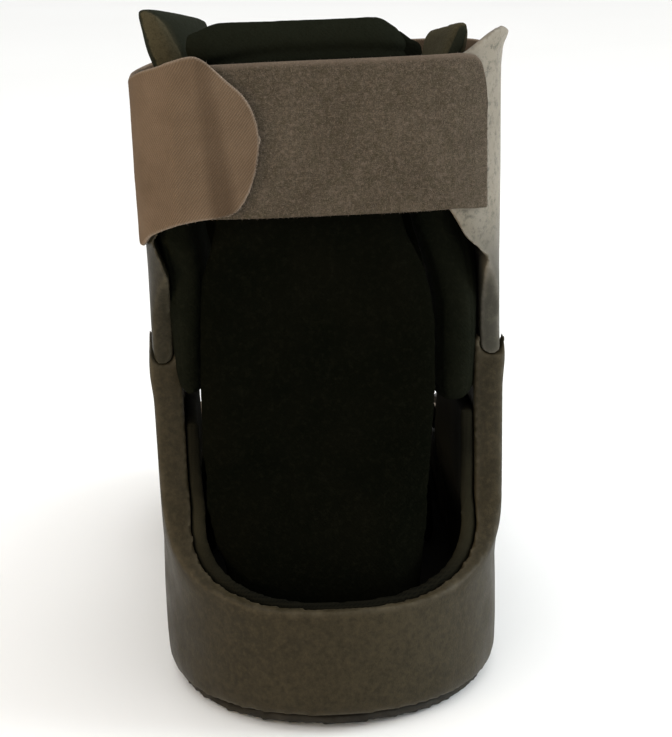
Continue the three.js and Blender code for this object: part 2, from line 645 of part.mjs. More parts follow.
function buildBackPad() {
  const outer = CUFF_REAR + CUFF_THICKNESS + STRAP_FIT;
  const bottom = BED_OVER_ROCKER + rocker(outer - FIT) + FIT;
  const levels = BACK_PAD_FORM.map((row) => {
    const z = bottom + (BACK_PAD_TOP - bottom) * row.at;
    const left = -BACK_PAD_HALF_WIDTH * row.left;
    const right = BACK_PAD_HALF_WIDTH * row.right;
    const y = outer + BACK_PAD_THICKNESS * (0.5 + row.inward);
    const endY = y + BACK_PAD_THICKNESS * row.wrap;
    const line = [[left, endY], [left * 0.72, y + (endY - y) * 0.25], [0, y], [right * 0.72, y + (endY - y) * 0.25], [right, endY]];
    return { z, line, thickness: BACK_PAD_THICKNESS * row.full };
  });
  return padLoft(levels);
}

const FRONT_PAD_FORM = [
  { at: 0, wide: 0.8, full: 0.6 },
  { at: 0.05, wide: 0.92, full: 1 },
  { at: 0.5, wide: 1, full: 1 },
  { at: 0.93, wide: 0.95, full: 1 },
  { at: 1, wide: 0.72, full: 0.6 },
];

function buildFrontPad() {
  const y = LEG_Y + CUFF_FRONT - STRAP_FIT - FRONT_PAD_THICKNESS / 2;
  const levels = FRONT_PAD_FORM.map((row) => {
    const half = FRONT_PAD_HALF_WIDTH * row.wide;
    const bend = FRONT_PAD_THICKNESS;
    const line = [[half, y - bend], [half / 2, y - bend / 4], [0, y], [-half / 2, y - bend / 4], [-half, y - bend]];
    const z = FRONT_PAD_BOTTOM + (FRONT_PAD_TOP - FRONT_PAD_BOTTOM) * row.at;
    return { z, line, thickness: FRONT_PAD_THICKNESS * row.full };
  });
  return padLoft(levels);
}

// Foot wrap by length: share of its half width and of its height
const WRAP_FORM = [
  { at: 0, wide: 0.86, high: 1 },
  { at: 0.2, wide: 0.87, high: 0.88 },
  { at: 0.45, wide: 0.93, high: 0.7 },
  { at: 0.7, wide: 1, high: 0.58 },
  { at: 1, wide: 0.95, high: 0.5 },
];
const WRAP_REAR = REAR + WRAP_START;

// Point on the wrap's outer arch at a distance along the boot, angle 0 at the left foot, pi at the right foot
function wrapPoint(y, angle, offset) {
  const at = (y - WRAP_REAR) / WRAP_LENGTH;
  const half = WRAP_HALF_WIDTH * readTable(WRAP_FORM, at, 'wide') + offset;
  const high = WRAP_HEIGHT * readTable(WRAP_FORM, at, 'high') + offset;
  const power = 2 / 2.3;
  const x = -half * Math.sign(Math.cos(angle)) * Math.abs(Math.cos(angle)) ** power;
  const z = BED_OVER_ROCKER + rocker(y) + FIT + high * Math.abs(Math.sin(angle)) ** power;
  return new THREE.Vector3(x, y, z);
}

function buildFootWrap() {
  const rings = [];
  const levels = 16;
  const steps = 14;
  for (let k = 0; k <= levels; k += 1) {
    const y = WRAP_REAR + (WRAP_LENGTH * k) / levels;
    const outer = [];
    const inner = [];
    for (let i = 0; i <= steps; i += 1) {
      const angle = (Math.PI * i) / steps;
      outer.push(wrapPoint(y, angle, 0));
      inner.push(wrapPoint(y, angle, -WRAP_THICKNESS));
    }
    rings.push(outer.concat(inner.reverse()));
  }
  return loftGeometry(rings);
}

// Ribbon with a closed section; stations hold the inner face's line across the width and the outward side
function ribbon(stations, thickness) {
  const rings = stations.map(({ line, out }) => {
    const push = out.clone().normalize().multiplyScalar(thickness);
    return [...line.map((p) => p.clone()), ...line.map((p) => p.clone().add(push)).reverse()];
  });
  return loftGeometry(rings);
}

// Calf strap rows: angle round the leg in degrees (negative on the left), lower and upper edges as shares of
// the strap's width, and how far the strap lies over the loop band (1) or down on the cuff (0)
const BAND_ROWS = [
  { at: -33, low: 0, high: 0.98 },
  { at: 12, low: 0, high: 1 },
  { at: 26, low: 0, high: 1 },
  { at: 36, low: -0.01, high: 0.98 },
  { at: 40, low: -0.01, high: 0.93 },
  { at: 44, low: -0.02, high: 0.82 },
  { at: 46, low: -0.02, high: 0.6 },
];
const HOOK_ROWS = [
  { at: -268, low: 0.04, high: 0.92, over: 0 },
  { at: -230, low: 0, high: 0.9, over: 0 },
  { at: -150, low: -0.06, high: 0.84, over: 0 },
  { at: -110, low: -0.16, high: 0.8, over: 0 },
  { at: -90, low: -0.24, high: 0.82, over: 0 },
  { at: -80, low: -0.25, high: 0.86, over: 0 },
  { at: -61, low: -0.14, high: 0.93, over: 0 },
  { at: -45, low: -0.07, high: 0.975, over: 0.3 },
  { at: -35, low: -0.03, high: 1.01, over: 1 },
  { at: -22, low: 0.01, high: 1.05, over: 1 },
  { at: -17, low: 0.024, high: 0.99, over: 1 },
  { at: -13.6, low: 0.05, high: 0.9, over: 1 },
  { at: -11.1, low: 0.125, high: 0.81, over: 1 },
  { at: -9.4, low: 0.225, high: 0.71, over: 1 },
  { at: -8.3, low: 0.38, high: 0.62, over: 1 },
];
const STRAP_STEP = 4;

// Angles from one row to the next in steps of at most STRAP_STEP degrees
function stationAngles(rows) {
  const angles = [rows[0].at];
  for (let i = 1; i < rows.length; i += 1) {
    const span = rows[i].at - rows[i - 1].at;
    const steps = Math.ceil(span / STRAP_STEP);
    for (let k = 1; k <= steps; k += 1) angles.push(rows[i - 1].at + (span * k) / steps);
  }
  return angles;
}

function calfStation(rows, degrees, lift) {
  const angle = (degrees * Math.PI) / 180;
  const edge = (column) => {
    const z = STRAP_BOTTOM + STRAP_WIDTH * readTable(rows, degrees, column, false);
    const [x, y] = cuffPoint(angle, cuffHalf(z), lift);
    return new THREE.Vector3(x, y, z);
  };
  const [px, py] = cuffPoint(angle - 0.05, cuffHalf(STRAP_BOTTOM), lift);
  const [qx, qy] = cuffPoint(angle + 0.05, cuffHalf(STRAP_BOTTOM), lift);
  return { line: [edge('low'), edge('high')], out: new THREE.Vector3(qy - py, px - qx, 0) };
}

function buildBand() {
  return ribbon(stationAngles(BAND_ROWS).map((angle) => calfStation(BAND_ROWS, angle, FIT)), BAND_THICKNESS);
}

function buildHookStrap() {
  const over = BAND_THICKNESS + FIT;
  const stations = stationAngles(HOOK_ROWS).map((angle) => {
    const lift = FIT + over * readTable(HOOK_ROWS, angle, 'over', false);
    return calfStation(HOOK_ROWS, angle, lift);
  });
  return ribbon(stations, STRAP_THICKNESS);
}

// Value of a line of [along, value] points at one place
function lineValue(line, at) {
  for (let i = 1; i < line.length; i += 1) {
    if (at <= line[i][0]) {
      const t = (at - line[i - 1][0]) / (line[i][0] - line[i - 1][0]);
      return line[i - 1][1] + (line[i][1] - line[i - 1][1]) * Math.max(0, t);
    }
  }
  return line[line.length - 1][1];
}

// Outer face of the shell's side wall at a place along the boot and a height
function shellSide(y, z) {
  const half = SHELL_HALF_WIDTH * readTable(SHELL_FORM, z / UPRIGHT_HEIGHT, 'wide');
  const rows = FOOT_PLAN.map((row) => [half * row.wide, HEEL_CENTRE_Y + (TOE - HEEL_CENTRE_Y) * row.along]);
  return lineValue(smoothLine(rows, CURVE_STEPS).map(([x, along]) => [along, x]), y);
}

// Outermost face of the shell's side over a stretch and down from a height
function widestSide(rearY, width, top, depth) {
  let widest = 0;
  for (let i = 0; i <= CURVE_STEPS; i += 1) {
    for (const z of [top, top - depth / 2, top - depth]) {
      widest = Math.max(widest, shellSide(rearY + (width * i) / CURVE_STEPS, z));
    }
  }
  return widest;
}

// Strap over the foot: from the left side of the shell, over the wrap, to the right side
function buildOverFootStrap(rearY, width) {
  const edgeLine = frontEdgeLine();
  const x = widestSide(rearY, width, lineValue(edgeLine, rearY), STRAP_ANCHOR) + FIT;
  const side = (sign, y, below) => new THREE.Vector3(sign * x, y, lineValue(edgeLine, y) + STRAP_LIFT - below);
  const across = [0, 0.2, 0.4, 0.6, 0.8, 1].map((share) => rearY + width * share);
  const anchor = (sign, below) => ({
    line: across.map((y) => side(sign, y, below)),
    out: new THREE.Vector3(sign, 0, 0),
  });
  const stations = [anchor(-1, STRAP_ANCHOR), anchor(-1, STRAP_ANCHOR / 2), anchor(-1, 0)];
  const steps = 10;
  for (let i = 0; i <= steps; i += 1) {
    const angle = Math.PI * (0.3 + (0.4 * i) / steps);
    stations.push({
      line: across.map((y) => wrapPoint(y, angle, STRAP_FIT)),
      out: new THREE.Vector3(-Math.cos(angle), 0, Math.sin(angle)),
    });
  }
  stations.push(anchor(1, 0), anchor(1, STRAP_ANCHOR / 2), anchor(1, STRAP_ANCHOR));
  return ribbon(stations, STRAP_THICKNESS);
}

// Flat rectangular loop round a strap's width; its long side runs along `along`, and `out` faces away
function buildRing(width, centre, along, out) {
  const long = width + 2 * RING_BAR;
  const tall = RING_SLOT + 2 * RING_BAR;
  const corner = RING_BAR / 2;
  const outline = [
    [-long / 2 + corner, -tall / 2],
    [long / 2 - corner, -tall / 2],
    [long / 2, -tall / 2 + corner],
    [long / 2, tall / 2 - corner],
    [long / 2 - corner, tall / 2],
    [-long / 2 + corner, tall / 2],
    [-long / 2, tall / 2 - corner],
    [-long / 2, -tall / 2 + corner],
  ];
  const slot = [
    [-width / 2, -RING_SLOT / 2],
    [-width / 2, RING_SLOT / 2],
    [width / 2, RING_SLOT / 2],
    [width / 2, -RING_SLOT / 2],
  ];
  const shape = new THREE.Shape(outline.map(([y, z]) => new THREE.Vector2(y, z)));
  shape.holes.push(new THREE.Path(slot.map(([y, z]) => new THREE.Vector2(y, z))));
  const geometry = new THREE.ExtrudeGeometry(shape, { depth: RING_THICKNESS, bevelEnabled: false });
  const first = along.clone().normalize();
  const normal = out.clone().addScaledVector(first, -out.dot(first)).normalize();
  const axes = new THREE.Matrix4().makeBasis(first, normal.clone().cross(first), normal);
  return geometry.applyMatrix4(axes).translate(centre.x, centre.y, centre.z);
}

// Loop on the shell's side, over the anchored end of a strap
function buildSideRing(width, rearY) {
  const top = lineValue(frontEdgeLine(), rearY + width + RING_BAR);
  const x = widestSide(rearY, width, lineValue(frontEdgeLine(), rearY), STRAP_ANCHOR) + 2 * FIT + STRAP_THICKNESS;
  const centre = new THREE.Vector3(x, rearY + width / 2, top - STRAP_ANCHOR / 2);
  return buildRing(width, centre, new THREE.Vector3(0, 1, 0), new THREE.Vector3(1, 0, 0));
}

// Loop where a strap leaves the shell's edge for the wrap
function buildEdgeRing(width, rearY) {
  const edge = frontEdgeLine();
  const x = widestSide(rearY, width, lineValue(edge, rearY), STRAP_ANCHOR) + FIT;
  const rear = new THREE.Vector3(x, rearY, lineValue(edge, rearY) + STRAP_LIFT);
  const front = new THREE.Vector3(x, rearY + width, lineValue(edge, rearY + width) + STRAP_LIFT);
  const inner = wrapPoint(rearY + width / 2, Math.PI * 0.7, STRAP_FIT);
  const middle = rear.clone().add(front).multiplyScalar(0.5);
  const along = front.clone().sub(rear);
  const inward = inner.clone().sub(middle);
  const out = inward.clone().cross(along).normalize();
  if (out.x < 0) out.negate();
  const lift = STRAP_THICKNESS + FIT + EDGE_RING_LIFT;
  const centre = middle.addScaledVector(inward.normalize(), RING_SLOT).addScaledVector(out, lift);
  return buildRing(width, centre, along, out);
}

const boot = new THREE.Group();

function addPiece(name, geometry, color, roughness, metalness = 0) {
  const mesh = new THREE.Mesh(geometry, new THREE.MeshStandardMaterial({ color, roughness, metalness }));
  mesh.name = name;
  boot.add(mesh);
}

const INSTEP_REAR = REAR + INSTEP_STRAP_START;
const FOREFOOT_REAR = REAR + FOREFOOT_STRAP_START;

addPiece('outsole', toGeometry(buildOutsole()), 0x16150f, 0.85);
addPiece('lower_shell', toGeometry(buildShell()), 0x4a463b, 0.5);
addPiece('footbed', toGeometry(buildFootbed()), 0x22211c, 0.95);
addPiece('shell_lining', toGeometry(buildLining()), 0x302e24, 0.95);
addPiece('strut_cuff_left', toGeometry(buildStrutCuff(-1, LEFT_CUFF_DROP, LEFT_CUFF_LOWER_EDGE)), 0x46423a, 0.5);
addPiece('strut_cuff_right', toGeometry(buildStrutCuff(1, 0, CUFF_LOWER_EDGE)), 0x6e6960, 0.5);
addPiece('side_pad_left', buildSidePad(-1, LEFT_PAD_FORM, LEFT_PAD_BOTTOM, LEFT_PAD_TOP), 0x262a26, 0.95);
addPiece('side_pad_right', buildSidePad(1, RIGHT_PAD_FORM, RIGHT_PAD_BOTTOM, RIGHT_PAD_TOP), 0x262a26, 0.95);
addPiece('back_pad', buildBackPad(), 0x121210, 0.98);
addPiece('front_pad', buildFrontPad(), 0x181814, 0.98);
addPiece('foot_wrap', buildFootWrap(), 0x1a1a17, 0.95);
addPiece('calf_band_loop', buildBand(), 0x62584e, 1);
addPiece('calf_strap_hook', buildHookStrap(), 0x706054, 0.9);
addPiece('instep_strap', buildOverFootStrap(INSTEP_REAR, INSTEP_STRAP_WIDTH), 0x6a5e52, 0.9);
addPiece('forefoot_strap', buildOverFootStrap(FOREFOOT_REAR, FOREFOOT_STRAP_WIDTH), 0x6a5e52, 0.9);
addPiece('instep_ring', buildEdgeRing(INSTEP_STRAP_WIDTH, INSTEP_REAR), 0x9a968c, 0.4);
addPiece('forefoot_ring', buildSideRing(FOREFOOT_STRAP_WIDTH, FOREFOOT_REAR), 0x9a968c, 0.4);

// Stand the boot on the ground with the middle of its plan at the origin
const extent = new THREE.Box3().setFromObject(boot, true);
boot.position.set(-(extent.min.x + extent.max.x) / 2, -(extent.min.y + extent.max.y) / 2, -extent.min.z);

export default boot;
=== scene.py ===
import math

import bmesh
import bpy
import numpy as np
from mathutils import Matrix, Vector, noise
from mathutils.bvhtree import BVHTree


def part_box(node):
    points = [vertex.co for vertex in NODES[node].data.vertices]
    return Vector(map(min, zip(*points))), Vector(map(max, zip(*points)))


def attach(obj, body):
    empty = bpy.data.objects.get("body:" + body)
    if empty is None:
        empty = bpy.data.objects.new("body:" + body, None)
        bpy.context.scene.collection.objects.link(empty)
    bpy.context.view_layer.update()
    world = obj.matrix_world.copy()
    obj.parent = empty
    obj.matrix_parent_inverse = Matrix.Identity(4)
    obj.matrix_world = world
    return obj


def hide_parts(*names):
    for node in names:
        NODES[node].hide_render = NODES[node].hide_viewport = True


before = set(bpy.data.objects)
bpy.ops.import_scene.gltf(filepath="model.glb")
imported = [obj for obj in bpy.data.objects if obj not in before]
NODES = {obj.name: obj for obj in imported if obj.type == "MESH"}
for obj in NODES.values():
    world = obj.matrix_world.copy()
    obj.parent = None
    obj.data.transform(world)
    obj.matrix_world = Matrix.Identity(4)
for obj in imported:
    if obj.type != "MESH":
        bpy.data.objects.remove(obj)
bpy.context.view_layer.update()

MM = 0.001
rng = np.random.default_rng(7)

# The shell is centred on x = 0 in the part's own drawing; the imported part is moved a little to
# centre its box
SHELL_LOW, SHELL_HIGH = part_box("lower_shell")
SHIFT = (SHELL_LOW.x + SHELL_HIGH.x) / 2

# The photograph's camera, fitted to the boot: angles in degrees, focal length in pixels and eye
# in metres
VIEW_AZIMUTH, VIEW_PITCH, VIEW_ROLL = 4.0, 16.0, 1.7
PHOTO_WIDTH, FOCAL_LENGTH, SENSOR_WIDTH = 672, 1899, 36
EYE = (-0.041912 + SHIFT, -0.741034, 0.3034)

FLOOR_HALF, FLOOR_DROP = 9.0, 0.0002
TINY = 1e-12


# ---------------------------------------------------------------- camera, floor, light

def make_camera():
    azimuth, pitch, roll = (math.radians(a) for a in (VIEW_AZIMUTH, VIEW_PITCH, VIEW_ROLL))
    right = Vector((math.cos(azimuth), -math.sin(azimuth), 0))
    level = math.cos(pitch)
    ahead = Vector((math.sin(azimuth) * level, math.cos(azimuth) * level, -math.sin(pitch)))
    up = right.cross(ahead)
    x_axis = right * math.cos(roll) - up * math.sin(roll)
    y_axis = right * math.sin(roll) + up * math.cos(roll)
    data = bpy.data.cameras.new("camera")
    data.sensor_fit = "HORIZONTAL"
    data.sensor_width = SENSOR_WIDTH
    data.lens = SENSOR_WIDTH * FOCAL_LENGTH / PHOTO_WIDTH
    data.clip_start, data.clip_end = 0.02, 60
    camera = bpy.data.objects.new("camera", data)
    bpy.context.scene.collection.objects.link(camera)
    place = Matrix((x_axis, y_axis, -ahead)).transposed().to_4x4()
    place.translation = Vector(EYE)
    camera.matrix_world = place
    bpy.context.scene.camera = camera


def aim(obj, target):
    obj.rotation_euler = (Vector(target) - obj.location).to_track_quat("-Z", "Y").to_euler()


def area_light(name, place, size, power, colour=(1, 1, 1), target=(0, -0.05, 0.12)):
    data = bpy.data.lights.new(name, "AREA")
    data.shape = "RECTANGLE"
    data.size, data.size_y = size
    data.energy = power
    data.color = colour
    light = bpy.data.objects.new(name, data)
    light.location = place
    aim(light, target)
    bpy.context.scene.collection.objects.link(light)


def make_world(scene):
    """Pale to the horizon and below, where the floor ends, and dimmer above."""
    world = bpy.data.worlds.new("studio")
    scene.world = world
    world.use_nodes = True
    tree = world.node_tree
    place = tree.nodes.new("ShaderNodeTexCoord")
    split = tree.nodes.new("ShaderNodeSeparateXYZ")
    ramp = tree.nodes.new("ShaderNodeValToRGB")
    back = tree.nodes["Background"]
    tree.links.new(place.outputs["Generated"], split.inputs[0])
    tree.links.new(split.outputs["Z"], ramp.inputs["Fac"])
    tree.links.new(ramp.outputs["Color"], back.inputs["Color"])
    low, high = ramp.color_ramp.elements
    low.position, low.color = 0.12, (0.95, 0.95, 0.94, 1)
    high.position, high.color = 0.3, (0.2, 0.2, 0.195, 1)


def make_stage():
    scene = bpy.context.scene
    scene.view_settings.view_transform = "Standard"
    scene.view_settings.look = "None"
    scene.view_settings.exposure = 0
    make_world(scene)

    area_light("key", (-0.5, -1.6, 1.5), (0.9, 0.9), 4.5, (1, 0.9, 0.78))
    area_light("warm_side", (-1.1, -0.7, 0.2), (0.5, 0.4), 5, (1, 0.72, 0.4))
    area_light("low_right", (1.1, -0.4, 0.14), (0.4, 0.3), 4, (0.9, 0.96, 1))
    area_light("cool_side", (1.3, -0.2, 0.6), (0.7, 0.9), 12, (0.9, 0.96, 1))
    area_light("ceiling", (0, 0, 3.2), (12, 12), 470, target=(0, 0, 0))

    half = FLOOR_HALF
    corners = [(-half, -half, 0), (half, -half, 0), (half, half, 0), (-half, half, 0)]
    mesh = bpy.data.meshes.new("floor")
    mesh.from_pydata(corners, [], [(0, 1, 2, 3)])
    floor = bpy.data.objects.new("floor", mesh)
    floor.location.z = -FLOOR_DROP
    scene.collection.objects.link(floor)
    mat = Material("floor_paint")
    tone = mat.ramp(mat.noise(1.3, 3), [(0.3, (0.9, 0.9, 0.89)), (0.7, (0.93, 0.93, 0.92))])
    mat.finish(tone, 0.85, 0.1)
    floor.data.materials.append(mat.data)


# ---------------------------------------------------------------- materials

# Sockets of the colour mix node
MIX_SHARE, MIX_FROM, MIX_TO, MIX_COLOUR = 0, 6, 7, 2

# Heights in metres are stretched by this before a ramp, whose stops lie between 0 and 1
HEIGHT_SCALE = 4


def srgb(r, g, b):
    """Linear colour of a display colour in bytes."""
    return tuple((c / 255 / 12.92) if c <= 10.3 else ((c / 255 + 0.055) / 1.055) ** 2.4
                 for c in (r, g, b))


def toned(colour, factor):
    return tuple(min(1, c * factor) for c in colour)


class Material:
    """Small helper that lays out the nodes of one procedural material."""

    def __init__(self, name):
        self.data = bpy.data.materials.new(name)
        self.data.use_nodes = True
        self.tree = self.data.node_tree
        self.tree.nodes.clear()
        self.out = self.tree.nodes.new("ShaderNodeOutputMaterial")
        self.shader = self.tree.nodes.new("ShaderNodeBsdfPrincipled")
        self.tree.links.new(self.shader.outputs["BSDF"], self.out.inputs["Surface"])
        self.place = self.tree.nodes.new("ShaderNodeTexCoord").outputs["Object"]

    def node(self, kind, **values):
        made = self.tree.nodes.new(kind)
        for key, value in values.items():
            setattr(made, key, value)
        return made

    def link(self, source, target):
        """Joins a socket to an input, or sets the input to a number or a colour."""
        if hasattr(source, "is_linked"):
            self.tree.links.new(source, target)
        elif hasattr(target.default_value, "__len__"):
            target.default_value = (*source, 1)
        else:
            target.default_value = source

    def scaled(self, factors, turn=(0, 0, 0), place=None):
        node = self.node("ShaderNodeMapping")
        self.link(place or self.place, node.inputs["Vector"])
        node.inputs["Scale"].default_value = factors
        node.inputs["Rotation"].default_value = turn
        return node.outputs["Vector"]

    def noise(self, scale, detail=2.0, rough=0.5, place=None):
        node = self.node("ShaderNodeTexNoise")
        self.link(place or self.place, node.inputs["Vector"])
        node.inputs["Scale"].default_value = scale
        node.inputs["Detail"].default_value = detail
        node.inputs["Roughness"].default_value = rough
        return node.outputs["Fac"]

    def cells(self, scale):
        node = self.node("ShaderNodeTexVoronoi", feature="F1")
        self.link(self.place, node.inputs["Vector"])
        node.inputs["Scale"].default_value = scale
        return node.outputs["Distance"]

    def waves(self, place, direction, warp):
        node = self.node("ShaderNodeTexWave", wave_type="BANDS", bands_direction=direction)
        self.link(place, node.inputs["Vector"])
        node.inputs["Scale"].default_value = 1.0
        node.inputs["Distortion"].default_value = warp
        node.inputs["Detail"].default_value = 1.0
        node.inputs["Detail Scale"].default_value = 1.0
        return node.outputs["Fac"]

    def height(self):
        node = self.node("ShaderNodeSeparateXYZ")
        self.link(self.place, node.inputs[0])
        return node.outputs["Z"]

    def attribute(self, name):
        node = self.node("ShaderNodeAttribute", attribute_name=name, attribute_type="GEOMETRY")
        return node.outputs["Fac"]

    def uv(self):
        node = self.node("ShaderNodeUVMap", uv_map="flat")
        return node.outputs["UV"]

    def maths(self, how, a, b, clamp=False):
        node = self.node("ShaderNodeMath", operation=how, use_clamp=clamp)
        self.link(a, node.inputs[0])
        self.link(b, node.inputs[1])
        return node.outputs[0]

    def ramp(self, value, stops):
        node = self.node("ShaderNodeValToRGB")
        self.link(value, node.inputs["Fac"])
        elements = node.color_ramp.elements
        while len(elements) < len(stops):
            elements.new(0.5)
        for element, (at, colour) in zip(elements, stops):
            element.position = at
            if not hasattr(colour, "__len__"):
                colour = (colour,) * 3
            element.color = (*colour, 1)
        return node.outputs["Color"]

    def mix(self, share, a, b):
        node = self.node("ShaderNodeMix", data_type="RGBA", blend_type="MIX")
        self.link(share, node.inputs[MIX_SHARE])
        self.link(a, node.inputs[MIX_FROM])
        self.link(b, node.inputs[MIX_TO])
        return node.outputs[MIX_COLOUR]

    def tint(self, tone, value, first, last, colour):
        """Lays a colour over a tone, by shares that run between two (value, share) stops."""
        return self.mix(self.ramp(value, [first, last]), tone, colour)

    def bump(self, height, distance, strength=1.0, before=None):
        node = self.node("ShaderNodeBump")
        self.link(height, node.inputs["Height"])
        node.inputs["Distance"].default_value = distance
        node.inputs["Strength"].default_value = strength
        if before is not None:
            self.link(before, node.inputs["Normal"])
        return node.outputs["Normal"]

    def finish(self, colour, roughness, specular, normal=None, sheen=0.0, sheen_rough=0.5,
               sheen_tint=(1, 1, 1)):
        shader = self.shader
        self.link(colour, shader.inputs["Base Color"])
        self.link(roughness, shader.inputs["Roughness"])
        shader.inputs["Specular IOR Level"].default_value = specular
        if normal is not None:
            self.link(normal, shader.inputs["Normal"])
        if sheen:
            shader.inputs["Sheen Weight"].default_value = sheen
            shader.inputs["Sheen Roughness"].default_value = sheen_rough
            shader.inputs["Sheen Tint"].default_value = (*sheen_tint, 1)
        return self.data


def moulded_plastic(name, colour, light, worn, specular, rough=(0.42, 0.56), painted_light_top=None):
    """Spark-textured moulded plastic: fine grain, cloudy tone, paler along its worn edges, and
    optionally a paler upper part that is painted light.
    """
    mat = Material(name)
    cloud = mat.noise(26, 4, 0.6)
    tone = mat.ramp(cloud, [(0.35, colour), (0.68, light)])
    if painted_light_top:
        # painted light: the upper part turns paler, standing in for light from the right falling
        # on the flared top
        height = mat.maths("ADD", mat.height(), mat.maths("MULTIPLY", cloud, 0.008))
        height = mat.maths("MULTIPLY", height, HEIGHT_SCALE)
        tone = mat.tint(tone, height, (0.61, 0.0), (0.74, 1.0), painted_light_top)
    speck = mat.noise(430, 4, 0.75)
    tone = mat.tint(tone, speck, (0.5, 0.0), (0.66, 0.75), toned(light, 1.25))
    if not painted_light_top:
        tone = mat.tint(tone, speck, (0.34, 0.6), (0.5, 0.0), toned(colour, 0.6))
    edge = mat.attribute("wear")
    scuff = mat.noise(160, 4, 0.65)
    ragged = mat.ramp(scuff, [(0.3, 0.25), (0.7, 1.0)])
    worn_at = mat.maths("MULTIPLY", edge, ragged, clamp=True)
    tone = mat.mix(worn_at, tone, worn)
    scratches = mat.noise(40, 3, 0.5, place=mat.scaled((60, 60, 4), (0.3, 0.2, 0.1)))
    scratch = mat.ramp(scratches, [(0.66, 0.0), (0.72, 1.0)])
    tone = mat.mix(mat.maths("MULTIPLY", scratch, 0.1), tone, light)
    gloss = mat.ramp(mat.noise(70, 3), [(0.3, rough[0]), (0.7, rough[1])])
    grain = mat.noise(2100, 2, 0.6)
    pits = mat.cells(1500)
    normal = mat.bump(grain, 0.00012, 0.5)
    normal = mat.bump(pits, 0.0001, 0.25, before=normal)
    normal = mat.bump(mat.noise(90, 2), 0.00018, 0.35, before=normal)
    return mat.finish(tone, gloss, specular, normal)


def rubber(name, colour, light):
    mat = Material(name)
    tone = mat.ramp(mat.noise(45, 4, 0.6), [(0.35, colour), (0.7, light)])
    edge = mat.attribute("wear")
    ragged = mat.ramp(mat.noise(220, 3), [(0.4, 0.2), (0.75, 1.0)])
    dust = mat.maths("MULTIPLY", edge, ragged, clamp=True)
    tone = mat.mix(mat.maths("MULTIPLY", dust, 0.5), tone, srgb(70, 65, 54))
    gloss = mat.ramp(mat.noise(120, 2), [(0.3, 0.7), (0.7, 0.86)])
    normal = mat.bump(mat.noise(1600, 2, 0.7), 0.00015, 0.6)
    return mat.finish(tone, gloss, 0.25, normal)


def pile_cloth(name, colour, light, fleck, coarse=700, patch=60, specular=0.02, top=None,
               band=None):
    """Brushed knit with a short pile: clumps, mottled tone, and a paler top and lit face that are
    painted light.

    The top is (low, high, colour) of the painted light on the upper part, heights in metres; the
    band is the painted-light colour of the lit face.
    """
    mat = Material(name)
    clumps = mat.noise(coarse, 3, 0.7)
    fibres = mat.noise(coarse * 3.2, 2, 0.8)
    patches = mat.noise(patch, 4, 0.6)
    tone = mat.ramp(patches, [(0.32, colour), (0.7, light)])
    # painted light: above these heights the tone turns paler, standing in for the light that falls
    # from above
    if top:
        low, high, paler = top
        height = mat.maths("MULTIPLY", mat.height(), HEIGHT_SCALE)
        tone = mat.tint(tone, height, (low * HEIGHT_SCALE, 0.0), (high * HEIGHT_SCALE, 1.0), paler)
    # painted light: the face lit from the left turns paler on its upper part
    if band:
        on_band = mat.attribute("band")
        height = mat.maths("MULTIPLY", mat.height(), HEIGHT_SCALE)
        reach = mat.maths("MULTIPLY", on_band, mat.ramp(height, [(0.7, 0.0), (0.88, 1.0)]))
        tone = mat.mix(reach, tone, band)
    tone = mat.tint(tone, clumps, (0.5, 0.0), (0.8, 0.55), fleck)
    tone = mat.tint(tone, fibres, (0.3, 0.35), (0.55, 0.0), colour)
    rows = mat.waves(mat.scaled((330, 330, 330), (0.1, 0.15, 0.6)), "DIAGONAL", 3.0)
    height = mat.maths("ADD", clumps, mat.maths("MULTIPLY", fibres, 0.5))
    height = mat.maths("ADD", height, mat.maths("MULTIPLY", rows, 0.12))
    normal = mat.bump(height, 0.00035, 0.8)
    normal = mat.bump(mat.noise(130, 3), 0.0005, 0.4, before=normal)
    return mat.finish(tone, mat.ramp(clumps, [(0.3, 0.85), (0.7, 0.98)]), specular, normal)


def foam_cloth(name, colour, light, deep=None):
    """Fine knit laminated on foam: small even rows, flat and dry, and with a deep colour darker
    below about 50 mm and above about 80 mm.
    """
    mat = Material(name)
    tone = mat.ramp(mat.noise(80, 4, 0.6), [(0.35, colour), (0.7, light)])
    if deep:
        height = mat.maths("MULTIPLY", mat.height(), 2 * HEIGHT_SCALE)
        tone = mat.tint(tone, height, (0.38, 1.0), (0.5, 0.0), deep)
        tone = mat.tint(tone, height, (0.56, 0.0), (0.72, 0.75), deep)
    knit_a = mat.waves(mat.scaled((300, 300, 300), (0.0, 0.0, 0.78)), "X", 1.2)
    knit_b = mat.waves(mat.scaled((360, 360, 360)), "Z", 1.2)
    knit = mat.maths("MULTIPLY", knit_a, knit_b)
    tone = mat.tint(tone, knit, (0.1, 0.3), (0.6, 0.0), colour)
    height = mat.maths("ADD", knit, mat.maths("MULTIPLY", mat.noise(1800, 2, 0.7), 0.6))
    normal = mat.bump(height, 0.0001, 0.35)
    normal = mat.bump(mat.noise(110, 2), 0.0002, 0.25, before=normal)
    return mat.finish(tone, 0.92, 0.03, normal, 0.03, 0.5, light)


